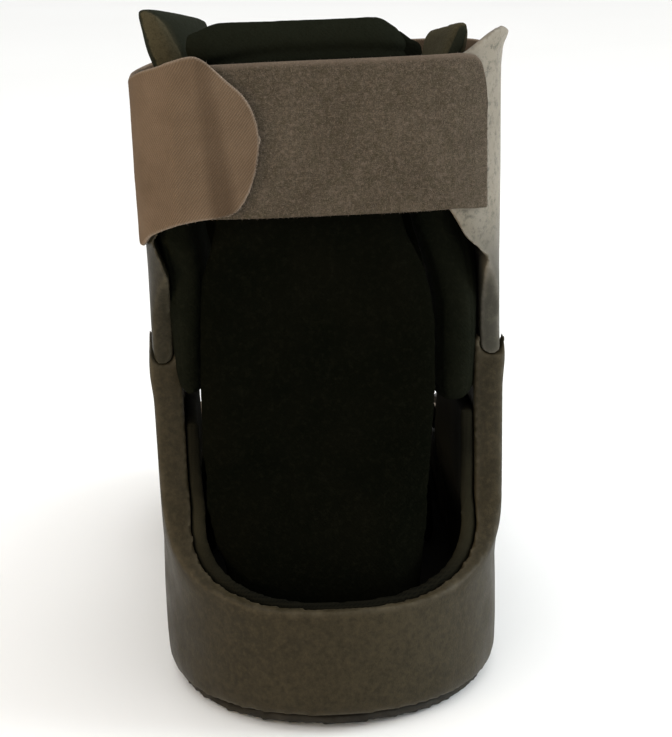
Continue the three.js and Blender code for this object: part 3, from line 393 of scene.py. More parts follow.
def loop_fabric(name):
    """Brushed loop face: mottled matted loops, darker worn patches and a paler selvedge on top."""
    mat = Material(name)
    flat = mat.uv()
    loops = mat.noise(2.4, 3, 0.75, place=flat)
    clumps = mat.noise(0.8, 4, 0.75, place=flat)
    drifts = mat.noise(0.3, 3, 0.65, place=flat)
    patches = mat.noise(0.07, 3, 0.6, place=flat)
    tone = mat.ramp(patches, [(0.3, srgb(68, 60, 50)), (0.7, srgb(84, 75, 64))])
    tone = mat.tint(tone, drifts, (0.36, 0.45), (0.54, 0.0), srgb(60, 56, 41))
    tone = mat.tint(tone, drifts, (0.54, 0.0), (0.7, 0.25), srgb(106, 94, 82))
    tone = mat.tint(tone, clumps, (0.38, 0.6), (0.53, 0.0), srgb(52, 48, 36))
    tone = mat.tint(tone, clumps, (0.54, 0.0), (0.7, 0.5), srgb(116, 103, 92))
    tone = mat.tint(tone, loops, (0.52, 0.0), (0.72, 0.6), srgb(120, 108, 96))
    tone = mat.tint(tone, loops, (0.3, 0.6), (0.47, 0.0), srgb(46, 40, 31))
    selvedge = mat.attribute("edge")
    tone = mat.mix(mat.maths("MULTIPLY", selvedge, 0.55), tone, srgb(118, 104, 92))
    height = mat.maths("ADD", clumps, mat.maths("MULTIPLY", loops, 0.9))
    fibre = mat.noise(4.2, 2, 0.8, place=flat)
    height = mat.maths("ADD", height, mat.maths("MULTIPLY", fibre, 0.35))
    normal = mat.bump(height, 0.0006, 0.8)
    return mat.finish(tone, 0.95, 0.02, normal, 0.05, 0.55, srgb(190, 176, 162))


def hook_fabric(name, colour, light, dark, band=True):
    """Back of a hook strap: fine close twill, a ragged border, a pressed band near its end."""
    mat = Material(name)
    flat = mat.uv()
    rib = mat.waves(mat.scaled((0.42, 0.42, 1), (0, 0, 0.62), place=flat), "X", 0.8)
    cross = mat.waves(mat.scaled((0.5, 0.5, 1), (0, 0, -0.95), place=flat), "X", 0.8)
    weave = mat.maths("MULTIPLY", rib, mat.maths("ADD", mat.maths("MULTIPLY", cross, 0.5), 0.5))
    patches = mat.noise(0.06, 4, 0.6, place=flat)
    tone = mat.ramp(patches, [(0.32, colour), (0.7, light)])
    tone = mat.tint(tone, weave, (0.05, 0.3), (0.5, 0.0), dark)
    tone = mat.tint(tone, weave, (0.55, 0.0), (0.95, 0.22), toned(light, 1.7))
    fuzz = mat.noise(1.6, 3, 0.75, place=flat)
    tone = mat.tint(tone, fuzz, (0.55, 0.0), (0.8, 0.35), light)
    border = mat.attribute("edge")
    torn = mat.ramp(mat.noise(1.4, 3, 0.7, place=flat), [(0.3, 0.2), (0.7, 1.0)])
    ragged = mat.maths("MULTIPLY", border, torn)
    tone = mat.mix(mat.maths("MULTIPLY", ragged, 0.6), tone, srgb(160, 146, 132))
    if band:
        tone = mat.mix(mat.maths("MULTIPLY", mat.attribute("press"), 0.6), tone, dark)
    height = mat.maths("ADD", weave, mat.maths("MULTIPLY", fuzz, 0.6))
    normal = mat.bump(height, 0.00022, 0.7)
    normal = mat.bump(mat.noise(0.12, 3, place=flat), 0.0006, 0.5, before=normal)
    return mat.finish(tone, 0.88, 0.03, normal, 0.04, 0.5, light)


def thread(name, colour, light):
    mat = Material(name)
    tone = mat.ramp(mat.noise(900, 2), [(0.35, colour), (0.7, light)])
    twist = mat.waves(mat.scaled((2600, 2600, 2600), (0.4, 0.5, 0.7)), "DIAGONAL", 0.5)
    return mat.finish(tone, 0.7, 0.2, mat.bump(twist, 0.00008, 0.5), 0.1, 0.5, light)


# ---------------------------------------------------------------- mesh helpers

def put(name, mesh):
    obj = bpy.data.objects.new(name, mesh)
    bpy.context.scene.collection.objects.link(obj)
    return obj


def baked(obj):
    """Replaces the object's mesh by its evaluated one and clears the modifiers."""
    bpy.context.view_layer.update()
    seen = obj.evaluated_get(bpy.context.evaluated_depsgraph_get())
    made = bpy.data.meshes.new_from_object(seen)
    obj.modifiers.clear()
    obj.data = made


def copied(node, name):
    return put(name, NODES[node].data.copy())


def piece_mesh(name, verts, faces):
    mesh = bpy.data.meshes.new(name)
    mesh.from_pydata(verts, [], faces)
    return mesh


def coords(mesh):
    co = np.empty(len(mesh.vertices) * 3)
    mesh.vertices.foreach_get("co", co)
    return co.reshape(-1, 3)


def set_coords(mesh, co):
    mesh.vertices.foreach_set("co", co.ravel())
    mesh.update()


def normals(mesh):
    no = np.empty(len(mesh.vertices) * 3, np.float32)
    mesh.vertex_normals.foreach_get("vector", no)
    return no.reshape(-1, 3).astype(float)


def edges(mesh):
    e = np.empty(len(mesh.edges) * 2, int)
    mesh.edges.foreach_get("vertices", e)
    return e.reshape(-1, 2)


def lengths(vectors):
    """Lengths of the vectors, kept as a last axis of one."""
    return np.linalg.norm(vectors, axis=-1, keepdims=True)


def dots(a, b):
    return np.einsum("...k,...k->...", a, b)


def run_along(line):
    """Distance of each point of a line from its start, measured along the line."""
    return np.concatenate([[0], np.cumsum(np.linalg.norm(np.diff(line, axis=0), axis=1))])


def spread(values, pairs, weights):
    """Weighted sum over each vertex's neighbours."""
    count = len(values)
    total = np.zeros((count, values.shape[1]))
    for k in range(values.shape[1]):
        total[:, k] += np.bincount(pairs[:, 0], weights * values[pairs[:, 1], k], count)
        total[:, k] += np.bincount(pairs[:, 1], weights * values[pairs[:, 0], k], count)
    return total


def around(values, pairs):
    """Mean of each vertex's neighbours."""
    number = np.bincount(pairs.ravel(), minlength=len(values))[:, None]
    return spread(values, pairs, np.ones(len(pairs))) / number


def evened(values, pairs, rounds):
    for _ in range(rounds):
        values = (values + around(values, pairs)) / 2
    return values


def attribute(mesh, name, values):
    made = mesh.attributes.new(name, "FLOAT", "POINT")
    made.data.foreach_set("value", np.asarray(values, np.float32))


def strap_attribute(mesh, name, values):
    """The same values on both faces of a slab."""
    attribute(mesh, name, np.tile(values.ravel(), 2))


def finish_piece(obj, mat, slot, *nodes):
    obj.data.materials.clear()
    obj.data.materials.append(mat)
    for polygon in obj.data.polygons:
        polygon.material_index = 0
    if nodes:
        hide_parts(*nodes)
    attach(obj, "root")


TURN = (Matrix.Rotation(0.52, 4, "X") @ Matrix.Rotation(0.41, 4, "Y")
        @ Matrix.Rotation(0.63, 4, "Z"))
TRIANGLE_LIMIT = 130000


def remesh(obj, voxel, rounds):
    """Even mesh of small quads, turned meanwhile so that edges don't run along the voxels."""
    obj.data.transform(TURN)
    modifier = obj.modifiers.new("voxels", "REMESH")
    modifier.mode = "VOXEL"
    modifier.voxel_size = voxel
    modifier.use_smooth_shade = True
    smooth = obj.modifiers.new("smooth", "SMOOTH")
    smooth.factor = 0.5
    smooth.iterations = rounds
    baked(obj)
    triangles = 2 * len(obj.data.polygons)
    if triangles > TRIANGLE_LIMIT:
        fewer = obj.modifiers.new("fewer", "DECIMATE")
        fewer.ratio = TRIANGLE_LIMIT / triangles
        baked(obj)
    obj.data.transform(TURN.inverted())


SHARP_ANGLE = 34  # degrees between neighbouring normals at which an edge counts as real
WEAR_START, WEAR_GAIN, WEAR_TOP = 0.05, 5, 1.3


def moulded(node, name, mat, slot, voxel, rounds, flow):
    """A moulded copy of a CAD node: rounded edges, facets shaded away, wear along its edges."""
    obj = copied(node, name)
    remesh(obj, voxel * MM, rounds)
    mesh = obj.data
    mesh.shade_smooth()
    pairs, first = edges(mesh), normals(mesh)
    # shading normals flow together over the flat facets, but not across real edges
    limit = math.cos(math.radians(SHARP_ANGLE))
    alike = dots(first[pairs[:, 0]], first[pairs[:, 1]])
    weights = np.clip((alike - limit) / (1 - limit), 0, 1) ** 2
    flowing = first.copy()
    for _ in range(flow):
        flowing = flowing + spread(flowing, pairs, weights)
        flowing /= lengths(flowing) + TINY
    # convex edges: neighbours lie below the tangent plane
    co = coords(mesh)
    lift = dots(co - around(co, pairs), first) / (voxel * MM)
    wear = evened(np.clip((lift - WEAR_START) * WEAR_GAIN, 0, 1)[:, None], pairs, 2)
    attribute(mesh, "wear", np.clip(wear[:, 0] * WEAR_TOP, 0, 1))
    mesh.normals_split_custom_set_from_vertices([tuple(n) for n in flowing])
    finish_piece(obj, mat, slot, node)


CLOTH = {"quality": 4, "mass": 0.2, "use_pressure": True, "tension_stiffness": 12,
         "compression_stiffness": 12, "shear_stiffness": 6, "bending_stiffness": 0.4}


def swell(obj, inner, pressure, cap, frames):
    """Blows the piece up as cloth; no vertex moves further than the cap, in mm."""
    scene = bpy.context.scene
    cloth = obj.modifiers.new("cloth", "CLOTH")
    for key, value in CLOTH.items():
        setattr(cloth.settings, key, value)
    cloth.settings.uniform_pressure_force = pressure
    cloth.settings.effector_weights.gravity = 0
    cloth.point_cache.frame_start, cloth.point_cache.frame_end = 1, frames + 1
    for k in range(1, frames + 1):
        scene.frame_set(k)
    swollen = coords(obj.evaluated_get(bpy.context.evaluated_depsgraph_get()).data)
    obj.modifiers.clear()
    scene.frame_set(1)
    moved = swollen - inner
    moved -= moved.mean(0)
    moved *= np.minimum(1, cap * MM / np.maximum(lengths(moved), TINY))
    set_coords(obj.data, inner + moved)


def padding(node, name, mat, slot, voxel, shrink, pressure, cap, levels, fill, frames=14,
            rounds=3, shape=None, sew=None):
    """A stuffed copy of a CAD pad, swelled by cloth pressure from a slightly smaller shape."""
    obj = copied(node, name)
    remesh(obj, voxel * MM, rounds)
    mesh = obj.data
    if shape:
        set_coords(mesh, shape(coords(mesh)))
    inner = coords(mesh) - normals(mesh) * shrink * MM
    set_coords(mesh, inner)
    swell(obj, inner, pressure, cap, frames)
    subdivision = obj.modifiers.new("finer", "SUBSURF")
    subdivision.levels = subdivision.render_levels = levels
    baked(obj)
    if sew:
        sew(obj)
    obj.data.shade_smooth()
    finish_piece(obj, mat, slot, node)


def step(values, low, high):
    """Smooth step from 0 at low to 1 at high."""
    share = np.clip((values - low) / (high - low), 0, 1)
    return share * share * (3 - 2 * share)


PAD_SLICE, PAD_END, LEAST_WIDTH = 6 * MM, 25 * MM, 1e-6


def widened(inner, outer, low, high, drop=0.0):
    """Moves a side pad's faces apart below a level, and lets its lower end hang further."""
    def shape(co):
        side = np.sign(co[:, 0].mean() - SHIFT)
        level = np.round(co[:, 2] / PAD_SLICE).astype(int)
        share = 1 - step(co[:, 2], low * MM, high * MM)
        out = co.copy()
        for k in np.unique(level):
            here = level == k
            across = (co[here, 0] - SHIFT) * side
            t = (across - across.min()) / max(across.max() - across.min(), LEAST_WIDTH)
            out[here, 0] += side * MM * share[here] * (outer * t - inner * (1 - t))
        foot = co[:, 2].min()
        out[:, 2] -= drop * MM * (1 - step(co[:, 2], foot, foot + PAD_END))
        return out
    return shape


def wider(factor, low, high):
    """Widens a soft piece below a level."""
    def shape(co):
        out = co.copy()
        share = 1 - step(co[:, 2], low * MM, high * MM)
        out[:, 0] = SHIFT + (co[:, 0] - SHIFT) * (1 + (factor - 1) * share)
        return out
    return shape


def sew_rear_band(obj):
    """Marks the face that takes painted light, the rear band on the left pad and the face beside
    it on the right one, and sinks the seam between band and face.
    """
    mesh = obj.data
    co, no = coords(mesh), evened(normals(mesh), edges(mesh), 4)
    band = step(-no[:, 1] / np.linalg.norm(no, axis=1), 0.5, 0.72)
    seam = np.exp(-(((band - 0.4) / 0.3) ** 2)) * (band > 0.02) * (band < 0.98)
    depth = 0.7 * MM
    set_coords(mesh, co - no * (depth * seam)[:, None])
    # painted light: the face lit from the left is the band on the left pad and the face beside it
    # on the right one
    attribute(mesh, "band", band if co[:, 0].mean() < SHIFT else 0.95 * (1 - band))


def sew_top_seam(obj):
    """A sewn channel that runs round the pad a little below its top."""
    mesh = obj.data
    co, no = coords(mesh), normals(mesh)
    below, sag, half_width, depth, width = (v * MM for v in (9.5, 6, 42, 1.5, 1.5))
    line = co[:, 2].max() - below - sag * np.abs((co[:, 0] - SHIFT) / half_width) ** 3
    sunk = depth * np.exp(-(((co[:, 2] - line) / width) ** 2))
    set_coords(mesh, co - no * sunk[:, None])


def tree_of(obj):
    bm = bmesh.new()
    bm.from_mesh(obj.data)
    tree = BVHTree.FromBMesh(bm)
    bm.free()
    return tree


# Sewing thread, in mm: distance and length of the stitches, their radius, rise and sag
PITCH, STITCH, THREAD_RADIUS, THREAD_RISE, THREAD_SAG = 2.6, 1.7, 0.22, 0.05, 0.08
THREAD_SIDES = 6
# Along a stitch: (place from -1 to 1, share of the radius)
THREAD_RINGS = [(-1, 0.15), (-0.8, 0.7), (-0.35, 1), (0.35, 1), (0.8, 0.7), (1, 0.15)]


def stitches(name, runs, mat, slot):
    """Sewn stitches along runs of (point, normal) pairs, as one mesh of small rounded threads."""
    verts, faces = [], []
    sides, rings = THREAD_SIDES, THREAD_RINGS
    for run in runs:
        points = [np.array(p) for p, _ in run]
        outs = [np.array(n) for _, n in run]
        steps = [0.0]
        for a, b in zip(points[:-1], points[1:]):
            steps.append(steps[-1] + np.linalg.norm(b - a))
        at = PITCH * MM / 2
        while at < steps[-1]:
            k = int(np.clip(np.searchsorted(steps, at) - 1, 0, len(points) - 2))
            t = (at - steps[k]) / max(steps[k + 1] - steps[k], TINY)
            centre = points[k] * (1 - t) + points[k + 1] * t
            out = outs[k] * (1 - t) + outs[k + 1] * t
            out /= np.linalg.norm(out) + TINY
            along = points[k + 1] - points[k]
            along /= np.linalg.norm(along) + TINY
            side = np.cross(out, along)
            base = len(verts)
            for u, r in rings:
                bend = THREAD_RISE * MM * (1 - u * u) + THREAD_SAG * MM * (1 - abs(u))
                middle = centre + along * (u * STITCH / 2 * MM) + out * bend
                for j in range(sides):
                    angle = 2 * math.pi * j / sides
                    way = side * math.cos(angle) + out * math.sin(angle)
                    verts.append(middle + way * (THREAD_RADIUS * r * MM))
            for i in range(len(rings) - 1):
                for j in range(sides):
                    a, b = base + i * sides + j, base + i * sides + (j + 1) % sides
                    faces.append((a, b, b + sides, a + sides))
            faces.append(tuple(base + j for j in reversed(range(sides))))
            faces.append(tuple(base + (len(rings) - 1) * sides + j for j in range(sides)))
            at += PITCH * MM
    mesh = piece_mesh(name, [tuple(v) for v in verts], faces)
    mesh.shade_smooth()
    finish_piece(put(name, mesh), mat, slot)


CURL = 0.5
# Faces of a fibre with three corners at each of its three joints
FIBRE_FACES = [(0, 1, 4, 3), (1, 2, 5, 4), (2, 0, 3, 5), (3, 4, 7, 6), (4, 5, 8, 7), (5, 3, 6, 8),
               (2, 1, 0), (6, 7, 8)]


def fibres(name, roots, leans, mat, slot, length, radius):
    """Loose fibres as thin tapered three-sided threads, each bent once."""
    count = len(roots)
    roots, leans = np.array(roots), np.array(leans)
    first = leans + CURL * rng.normal(size=(count, 3))
    first /= lengths(first)
    second = first + CURL * 1.6 * rng.normal(size=(count, 3))
    second /= lengths(second)
    long = (length * MM * rng.uniform(0.4, 1.3, size=count))[:, None]
    joints = [roots - first * 0.15 * MM, roots + first * long * 0.5,
              roots + (first + second) * long * 0.5]
    side = np.cross(first, rng.normal(size=(count, 3)))
    side /= lengths(side)
    other = np.cross(first, side)
    verts = []
    for joint, width in zip(joints, (1.0, 0.85, 0.25)):
        for k in range(3):
            angle = 2 * math.pi * k / 3
            way = side * math.cos(angle) + other * math.sin(angle)
            verts.append(joint + way * (radius * width * MM))
    corners = len(verts)
    verts = np.stack(verts, 1).reshape(-1, 3)
    faces = [tuple(corners * n + v for v in face) for n in range(count) for face in FIBRE_FACES]
    mesh = piece_mesh(name, verts.tolist(), faces)
    mesh.shade_smooth()
    finish_piece(put(name, mesh), mat, slot)


def border_fibres(grid, out, sides, count):
    """Roots and leanings of fibres that stand out of a strap's borders.

    Each leans away from the point a few rows further in, and starts one row inside the border.
    """
    roots, leans = [], []
    n, m = grid.shape[:2]
    for _ in range(count):
        where = sides[rng.integers(len(sides))]
        i, j = int(rng.integers(2, n - 2)), int(rng.integers(2, m - 2))
        if where == "end":
            i, back = n - 2, (n - 6, j)
        elif where == "top":
            j, back = m - 2, (i, m - 6)
        else:
            j, back = 1, (i, 5)
        away = grid[i, j] - grid[back]
        away /= np.linalg.norm(away) + TINY
        roots.append(grid[i, j] - out[i, j] * rng.uniform(0.2, 1.2) * MM)
        leans.append(away + out[i, j] * 0.4)
    return roots, leans


def face_fibres(grid, out, count):
    """Roots and leanings of the short matted fibres on a strap's face."""
    n, m = grid.shape[:2]
    i, j = rng.integers(2, n - 2, size=count), rng.integers(4, m - 4, size=count)
    return grid[i, j], out[i, j] * 0.35 + 0.9 * rng.normal(size=(count, 3)) * 0.6


# ---------------------------------------------------------------- straps

def smooth_table(xs, ys):
    """Monotone cubic through the points, so a table's corners turn into an even curve."""
    xs, ys = np.array(xs, float), np.array(ys, float)
    gaps = np.diff(xs)
    rises = np.diff(ys) / gaps
    slopes = np.zeros(len(xs))
    for k in range(1, len(xs) - 1):
        if rises[k - 1] * rises[k] > 0:
            w1, w2 = 2 * gaps[k] + gaps[k - 1], gaps[k] + 2 * gaps[k - 1]
            slopes[k] = (w1 + w2) / (w1 / rises[k - 1] + w2 / rises[k])
    slopes[0], slopes[-1] = rises[0], rises[-1]

    def value(x):
        x = np.clip(x, xs[0], xs[-1])
        k = np.clip(np.searchsorted(xs, x) - 1, 0, len(xs) - 2)
        t = (x - xs[k]) / gaps[k]
        return ((2 * t**3 - 3 * t**2 + 1) * ys[k]
                + (t**3 - 2 * t**2 + t) * gaps[k] * slopes[k]
                + (-2 * t**3 + 3 * t**2) * ys[k + 1]
                + (t**3 - t**2) * gaps[k] * slopes[k + 1])

    return value


# The cuff's plan and the calf strap's height, in mm, as in the part's own drawing
STRUT_OUTER, LEG_Y, CUFF_BACK, CUFF_FRONT, SQUARENESS = 61.2, -85.0, 44.0, 60.0, 3.8
CUFF_BOTTOM, CUFF_TOP, STRAP_BOTTOM, STRAP_WIDTH = 158.0, 237.0, 180.0, 51.0
# How far the cuff flares outward, in mm, over shares of its height
FLARE = ([0, 0.4, 0.72, 0.84, 0.92, 1], [0, 0.6, 0.8, 1, 1.7, 4.6])
LEG_CENTRE = np.array([SHIFT, LEG_Y * MM, 0.2])

# Heights and thicknesses in mm; the strap's length is measured on the mid line
MID_HEIGHT, MID_OFFSET = 205.0, 0.3
BAND_THICKNESS, BAND_LIFT = 2.0, 2.3
HOOK_THICKNESS, HOOK_GAP, HOOK_LIFT = 1.7, 0.3, 1.8
FOOT_STRAP_THICKNESS, FOOT_STRAP_INSET = 1.7, 0.35
LEAST_THICKNESS_SHARE, UNDERSIDE_UV_SHIFT = 0.06, 400.0


def cuff_point(angle, z, offset):
    """Points on the cuff's outer face, pushed outward by an offset; angle 0 is at the back."""
    half = STRUT_OUTER + np.interp((z - CUFF_BOTTOM) / (CUFF_TOP - CUFF_BOTTOM), *FLARE)
    power = 2 / SQUARENESS
    across, along = np.sin(angle), -np.cos(angle)
    reach = np.where(along < 0, CUFF_BACK, CUFF_FRONT)
    x = (half + offset) * np.sign(across) * np.abs(across) ** power
    y = LEG_Y + (reach + offset) * np.sign(along) * np.abs(along) ** power
    return np.stack([x * MM + SHIFT, y * MM, z * MM], -1)


def around_border(grid):
    """The grid's border entries in order, once round."""
    return np.concatenate([grid[0], grid[1:, -1], grid[-1, -2::-1], grid[-2:0:-1, 0]])


def slab(name, outer, out, thickness, flat, edge_distance, roundness, bulge):
    """Closed strap from a grid of points on its outer face; its thickness rolls off at its border.

    The border distance is in mm and the bulge lifts the outer face by mm.
    """
    n, m = outer.shape[:2]
    roll = np.clip(edge_distance / (roundness * thickness / 2), 0, 1)
    half = thickness / 2 * np.sqrt(np.clip(1 - (1 - roll) ** 2, 0.0, 1))
    half = np.maximum(half, thickness * LEAST_THICKNESS_SHARE)
    middle = outer - out * (thickness / 2 * MM)
    push = half * MM
    top = middle + out * push[..., None]
    top = top + out * (bulge * roll)[..., None] * MM
    bottom = middle - out * push[..., None]
    verts = np.concatenate([top.reshape(-1, 3), bottom.reshape(-1, 3)])
    index = np.arange(n * m).reshape(n, m)
    a, b, c, d = index[:-1, :-1], index[1:, :-1], index[1:, 1:], index[:-1, 1:]
    upper = np.stack([a, b, c, d], -1).reshape(-1, 4)
    lower = np.stack([d, c, b, a], -1).reshape(-1, 4) + n * m
    ring = around_border(index)
    following = np.roll(ring, -1)
    side = np.stack([ring, following, following + n * m, ring + n * m], -1)
    faces = np.concatenate([upper, lower, side])
    # faces look out of the slab whichever way the grid runs
    p, q, r = verts[upper[0][0]], verts[upper[0][1]], verts[upper[0][2]]
    if np.dot(np.cross(q - p, r - p), out[0, 0]) < 0:
        faces = faces[:, ::-1]
    mesh = piece_mesh(name, verts.tolist(), faces.tolist())
    layer = mesh.uv_layers.new(name="flat")
    loops = np.empty(len(mesh.loops), int)
    mesh.loops.foreach_get("vertex_index", loops)
    upper_flat = flat.reshape(-1, 2)
    both = np.concatenate([upper_flat, upper_flat + UNDERSIDE_UV_SHIFT])
    layer.data.foreach_set("uv", both[loops].ravel().astype(np.float32))
    mesh.validate()
    mesh.shade_smooth()
    return put(name, mesh)


def grid_normals(grid, centre):
    """Unit normals of a grid of points, on the side that looks away from a centre."""
    across, along = np.gradient(grid, axis=0), np.gradient(grid, axis=1)
    no = np.cross(across, along)
    no = no / (lengths(no) + TINY)
    return -no if dots(no, grid - centre).mean() < 0 else no


def border_distance(flat):
    """Distance of each grid point from the strap's border, measured on the flat strap."""
    points = flat.reshape(-1, 2)
    near = np.full(len(points), np.inf)
    for part in np.array_split(around_border(flat), 40):
        gap = np.linalg.norm(points[:, None] - part[None], axis=-1).min(1)
        near = np.minimum(near, gap)
    return near.reshape(flat.shape[:2])


def across_samples(count):
    """Shares across a strap, closer together near both borders."""
    skipped = 0.12
    t = np.linspace(0, 1, count)
    turn = math.pi * (skipped + (1 - 2 * skipped) * t)
    return 0.5 - 0.5 * np.cos(turn) / math.cos(math.pi * skipped)


def rippled(flat, scale, seed):
    """Smooth seeded unevenness over a flat strap."""
    values = [noise.noise(Vector((u / scale, v / scale, seed))) for u, v in flat.reshape(-1, 2)]
    return np.array(values).reshape(flat.shape[:2])


def mid_run(angles):
    """Length in mm along the middle of the calf strap at each angle, in degrees."""
    line = cuff_point(np.radians(angles), np.full(len(angles), MID_HEIGHT), MID_OFFSET)
    return run_along(line) / MM


def calf_grid(angles, low, high, lift, count):
    """Points of a strap round the cuff, and the same points on the flat strap in mm.

    Low and high are its borders in shares of the strap's width, at each angle.
    """
    share = across_samples(count)
    z = STRAP_BOTTOM + STRAP_WIDTH * (low[:, None] * (1 - share) + high[:, None] * share)
    grid = cuff_point(np.radians(angles)[:, None] + 0 * z, z, lift[:, None] + 0 * z)
    flat = np.stack([mid_run(angles)[:, None] + 0 * z, z], -1)
    return grid, flat


def soften_run(values, rounds):
    """Evens out a grid along its length, ends kept."""
    for _ in range(rounds):
        values[1:-1] = (values[:-2] + 2 * values[1:-1] + values[2:]) / 4


def even_angles(first, last, step):
    """Angles whose points lie about evenly along the cuff's path."""
    fine = np.linspace(first, last, 4000)
    run = mid_run(fine)
    return np.interp(np.arange(0, run[-1] + step / 2, step), run, fine)


BAND_FIRST, BAND_LAST = -33, 46
# Upper and lower border of the loop band: angles in degrees, shares of the strap's width
BAND_HIGH = ([BAND_FIRST, 12, 26, 36, 40, 43, 45, BAND_LAST],
             [0.98, 1.0, 1.0, 0.985, 0.95, 0.875, 0.76, 0.62])
BAND_LOW = ([BAND_FIRST, 12, 26, 36, BAND_LAST], [0, 0, 0, -0.01, -0.02])
BAND_STEP, BAND_COLUMNS, SELVEDGE = 0.55, 80, 2.2


def make_loop_band(mat, slot):
    angles = even_angles(BAND_FIRST, BAND_LAST, BAND_STEP)
    high, low = smooth_table(*BAND_HIGH)(angles), smooth_table(*BAND_LOW)(angles)
    grid, flat = calf_grid(angles, low, high, np.full(len(angles), BAND_LIFT), BAND_COLUMNS)
    out = grid_normals(grid, LEG_CENTRE)
    fuzz = 0.22 * rippled(flat, 2.2, 3.1) + 0.16 * rippled(flat, 0.9, 8.3)
    top = STRAP_BOTTOM + STRAP_WIDTH * high[:, None] - flat[..., 1]
    selvedge = np.clip(1 - top / SELVEDGE, 0, 1)
    fuzz = fuzz * (1 - selvedge)
    obj = slab("calf_band_loop_piece", grid, out, BAND_THICKNESS, flat, border_distance(flat),
               1.0, fuzz)
    strap_attribute(obj.data, "edge", selvedge)
    finish_piece(obj, mat, slot, "calf_band_loop")
    return grid, out


HOOK_FIRST, HOOK_TIP = -268, -7.1
# The hook strap: angle in degrees, lower and upper border in shares of the strap's width, and
# how far it has climbed on the loop band
HOOK_ROWS = [(HOOK_FIRST, 0.04, 0.92, 0), (-230, 0, 0.9, 0), (-150, -0.06, 0.84, 0),
             (-110, -0.16, 0.8, 0), (-90, -0.24, 0.82, 0), (-80, -0.25, 0.86, 0),
             (-61, -0.14, 0.93, 0), (-45, -0.07, 0.975, 0.3), (-35, -0.03, 1.01, 1),
             (-23.5, 0.006, 1.048, 1), (-21.5, 0.01, 1.035, 1), (-17, 0.024, 0.955, 1),
             (-13.6, 0.05, 0.88, 1), (-11.1, 0.115, 0.825, 1), (-9.4, 0.2, 0.765, 1),
             (-8.2, 0.3, 0.695, 1), (-7.5, 0.4, 0.625, 1), (HOOK_TIP, 0.5, 0.53, 1)]
HOOK_STEP, HOOK_COLUMNS = 1.3, 60
TIP_REACH, TIP_ROWS = 9, 46  # degrees before the tip where the rows crowd, and their number


def hook_angles():
    """Angles of the hook strap's rows, crowded towards its rounded end."""
    start = HOOK_TIP - TIP_REACH
    main = even_angles(HOOK_FIRST, start, HOOK_STEP)
    close = HOOK_TIP - TIP_REACH * (1 - np.linspace(0, 1, TIP_ROWS)[1:]) ** 2
    return np.concatenate([main[main < start - 0.01], [start], close])


def make_hook_strap(mat, slot):
    # the borders run over the root of the distance to the tip, which makes the end round
    root = [-math.sqrt(HOOK_TIP - row[0]) for row in HOOK_ROWS]
    low_of, high_of, over_of = (
        smooth_table(root, [row[k] for row in HOOK_ROWS]) for k in (1, 2, 3))
    angles = hook_angles()
    at = -np.sqrt(np.maximum(HOOK_TIP - angles, 0))
    lift = HOOK_GAP + BAND_LIFT * np.clip(over_of(at), 0, 1) + HOOK_LIFT
    grid, flat = calf_grid(angles, low_of(at), high_of(at), lift, HOOK_COLUMNS)
    out = grid_normals(grid, LEG_CENTRE)
    out[-1] = out[-2]
    distance = border_distance(flat)
    slack = 0.18 * rippled(flat, 14, 5.7) + 0.05 * rippled(flat, 2.5, 1.3)
    obj = slab("calf_strap_hook_piece", grid, out, HOOK_THICKNESS, flat, distance, 0.7, slack)
    edge = np.clip(1.1 - distance / 0.7, 0, 1)
    x, z = (grid[..., 0] - SHIFT) / MM, grid[..., 2] / MM
    up = np.clip((z - STRAP_BOTTOM) / STRAP_WIDTH, 0, 1)
    # the pressed band leans with the strap's end and is widest near its lower corner
    off_band = np.abs(x + 34.0 + 5.5 * up) / (6.5 - 3.0 * up)
    press = np.clip(1.6 * (1 - off_band), 0, 1) * (1 - 0.55 * up)
    press = press * (grid[..., 1] < LEG_Y * MM)
    strap_attribute(obj.data, "edge", edge)
    strap_attribute(obj.data, "press", press)
    finish_piece(obj, mat, slot, "calf_strap_hook")
    return grid, out


FOOT_COLUMNS, FOOT_ROWS = 44, 200
RAY_START, RAY_REACH, LONGEST_HIT = 0.2, 0.5, 0.19


def outer_line(tree, y, centre_z):
    """Outer points of a foot strap at one y, found by rays from all round towards its middle."""
    line = []
    for angle in np.radians(np.linspace(-60, 240, 1500)):
        way = Vector((math.cos(angle), 0, math.sin(angle)))
        origin = Vector((SHIFT, y, centre_z)) + way * RAY_START
        hit = tree.ray_cast(origin, (-way).normalized(), RAY_REACH)[0]
        if hit is not None and (hit - origin).length < LONGEST_HIT:
            line.append(np.array(hit))
    return np.array(line)


def make_foot_strap(node, name, mat, slot):
    """Strap over the foot, laid on the CAD strap's outer face and drawn smooth."""
    tree = tree_of(NODES[node])
    low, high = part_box(node)
    inset = FOOT_STRAP_INSET * MM
    centre_z = low.z + (high.z - low.z) * 0.42
    columns = []
    for y in low.y + inset + (high.y - low.y - 2 * inset) * across_samples(FOOT_COLUMNS):
        line = outer_line(tree, y, centre_z)
        run = run_along(line)
        even = np.linspace(0, run[-1], FOOT_ROWS)
        columns.append(np.stack([np.interp(even, run, line[:, k]) for k in range(3)], -1))
    grid = np.stack(columns, 1)
    soften_run(grid, 16)
    out = grid_normals(grid, np.array([SHIFT, (low.y + high.y) / 2, centre_z]))
    run = run_along(grid[:, FOOT_COLUMNS // 2]) / MM
    flat = np.stack([run[:, None] + 0 * grid[..., 1], grid[..., 1] / MM], -1)
    distance = border_distance(flat)
    obj = slab(name, grid, out, FOOT_STRAP_THICKNESS, flat, distance, 1.1,
               0.12 * rippled(flat, 9, 2.2))
    strap_attribute(obj.data, "edge", np.clip(1.2 - distance / 1.6, 0, 1))
    finish_piece(obj, mat, slot, node)
    return grid, out


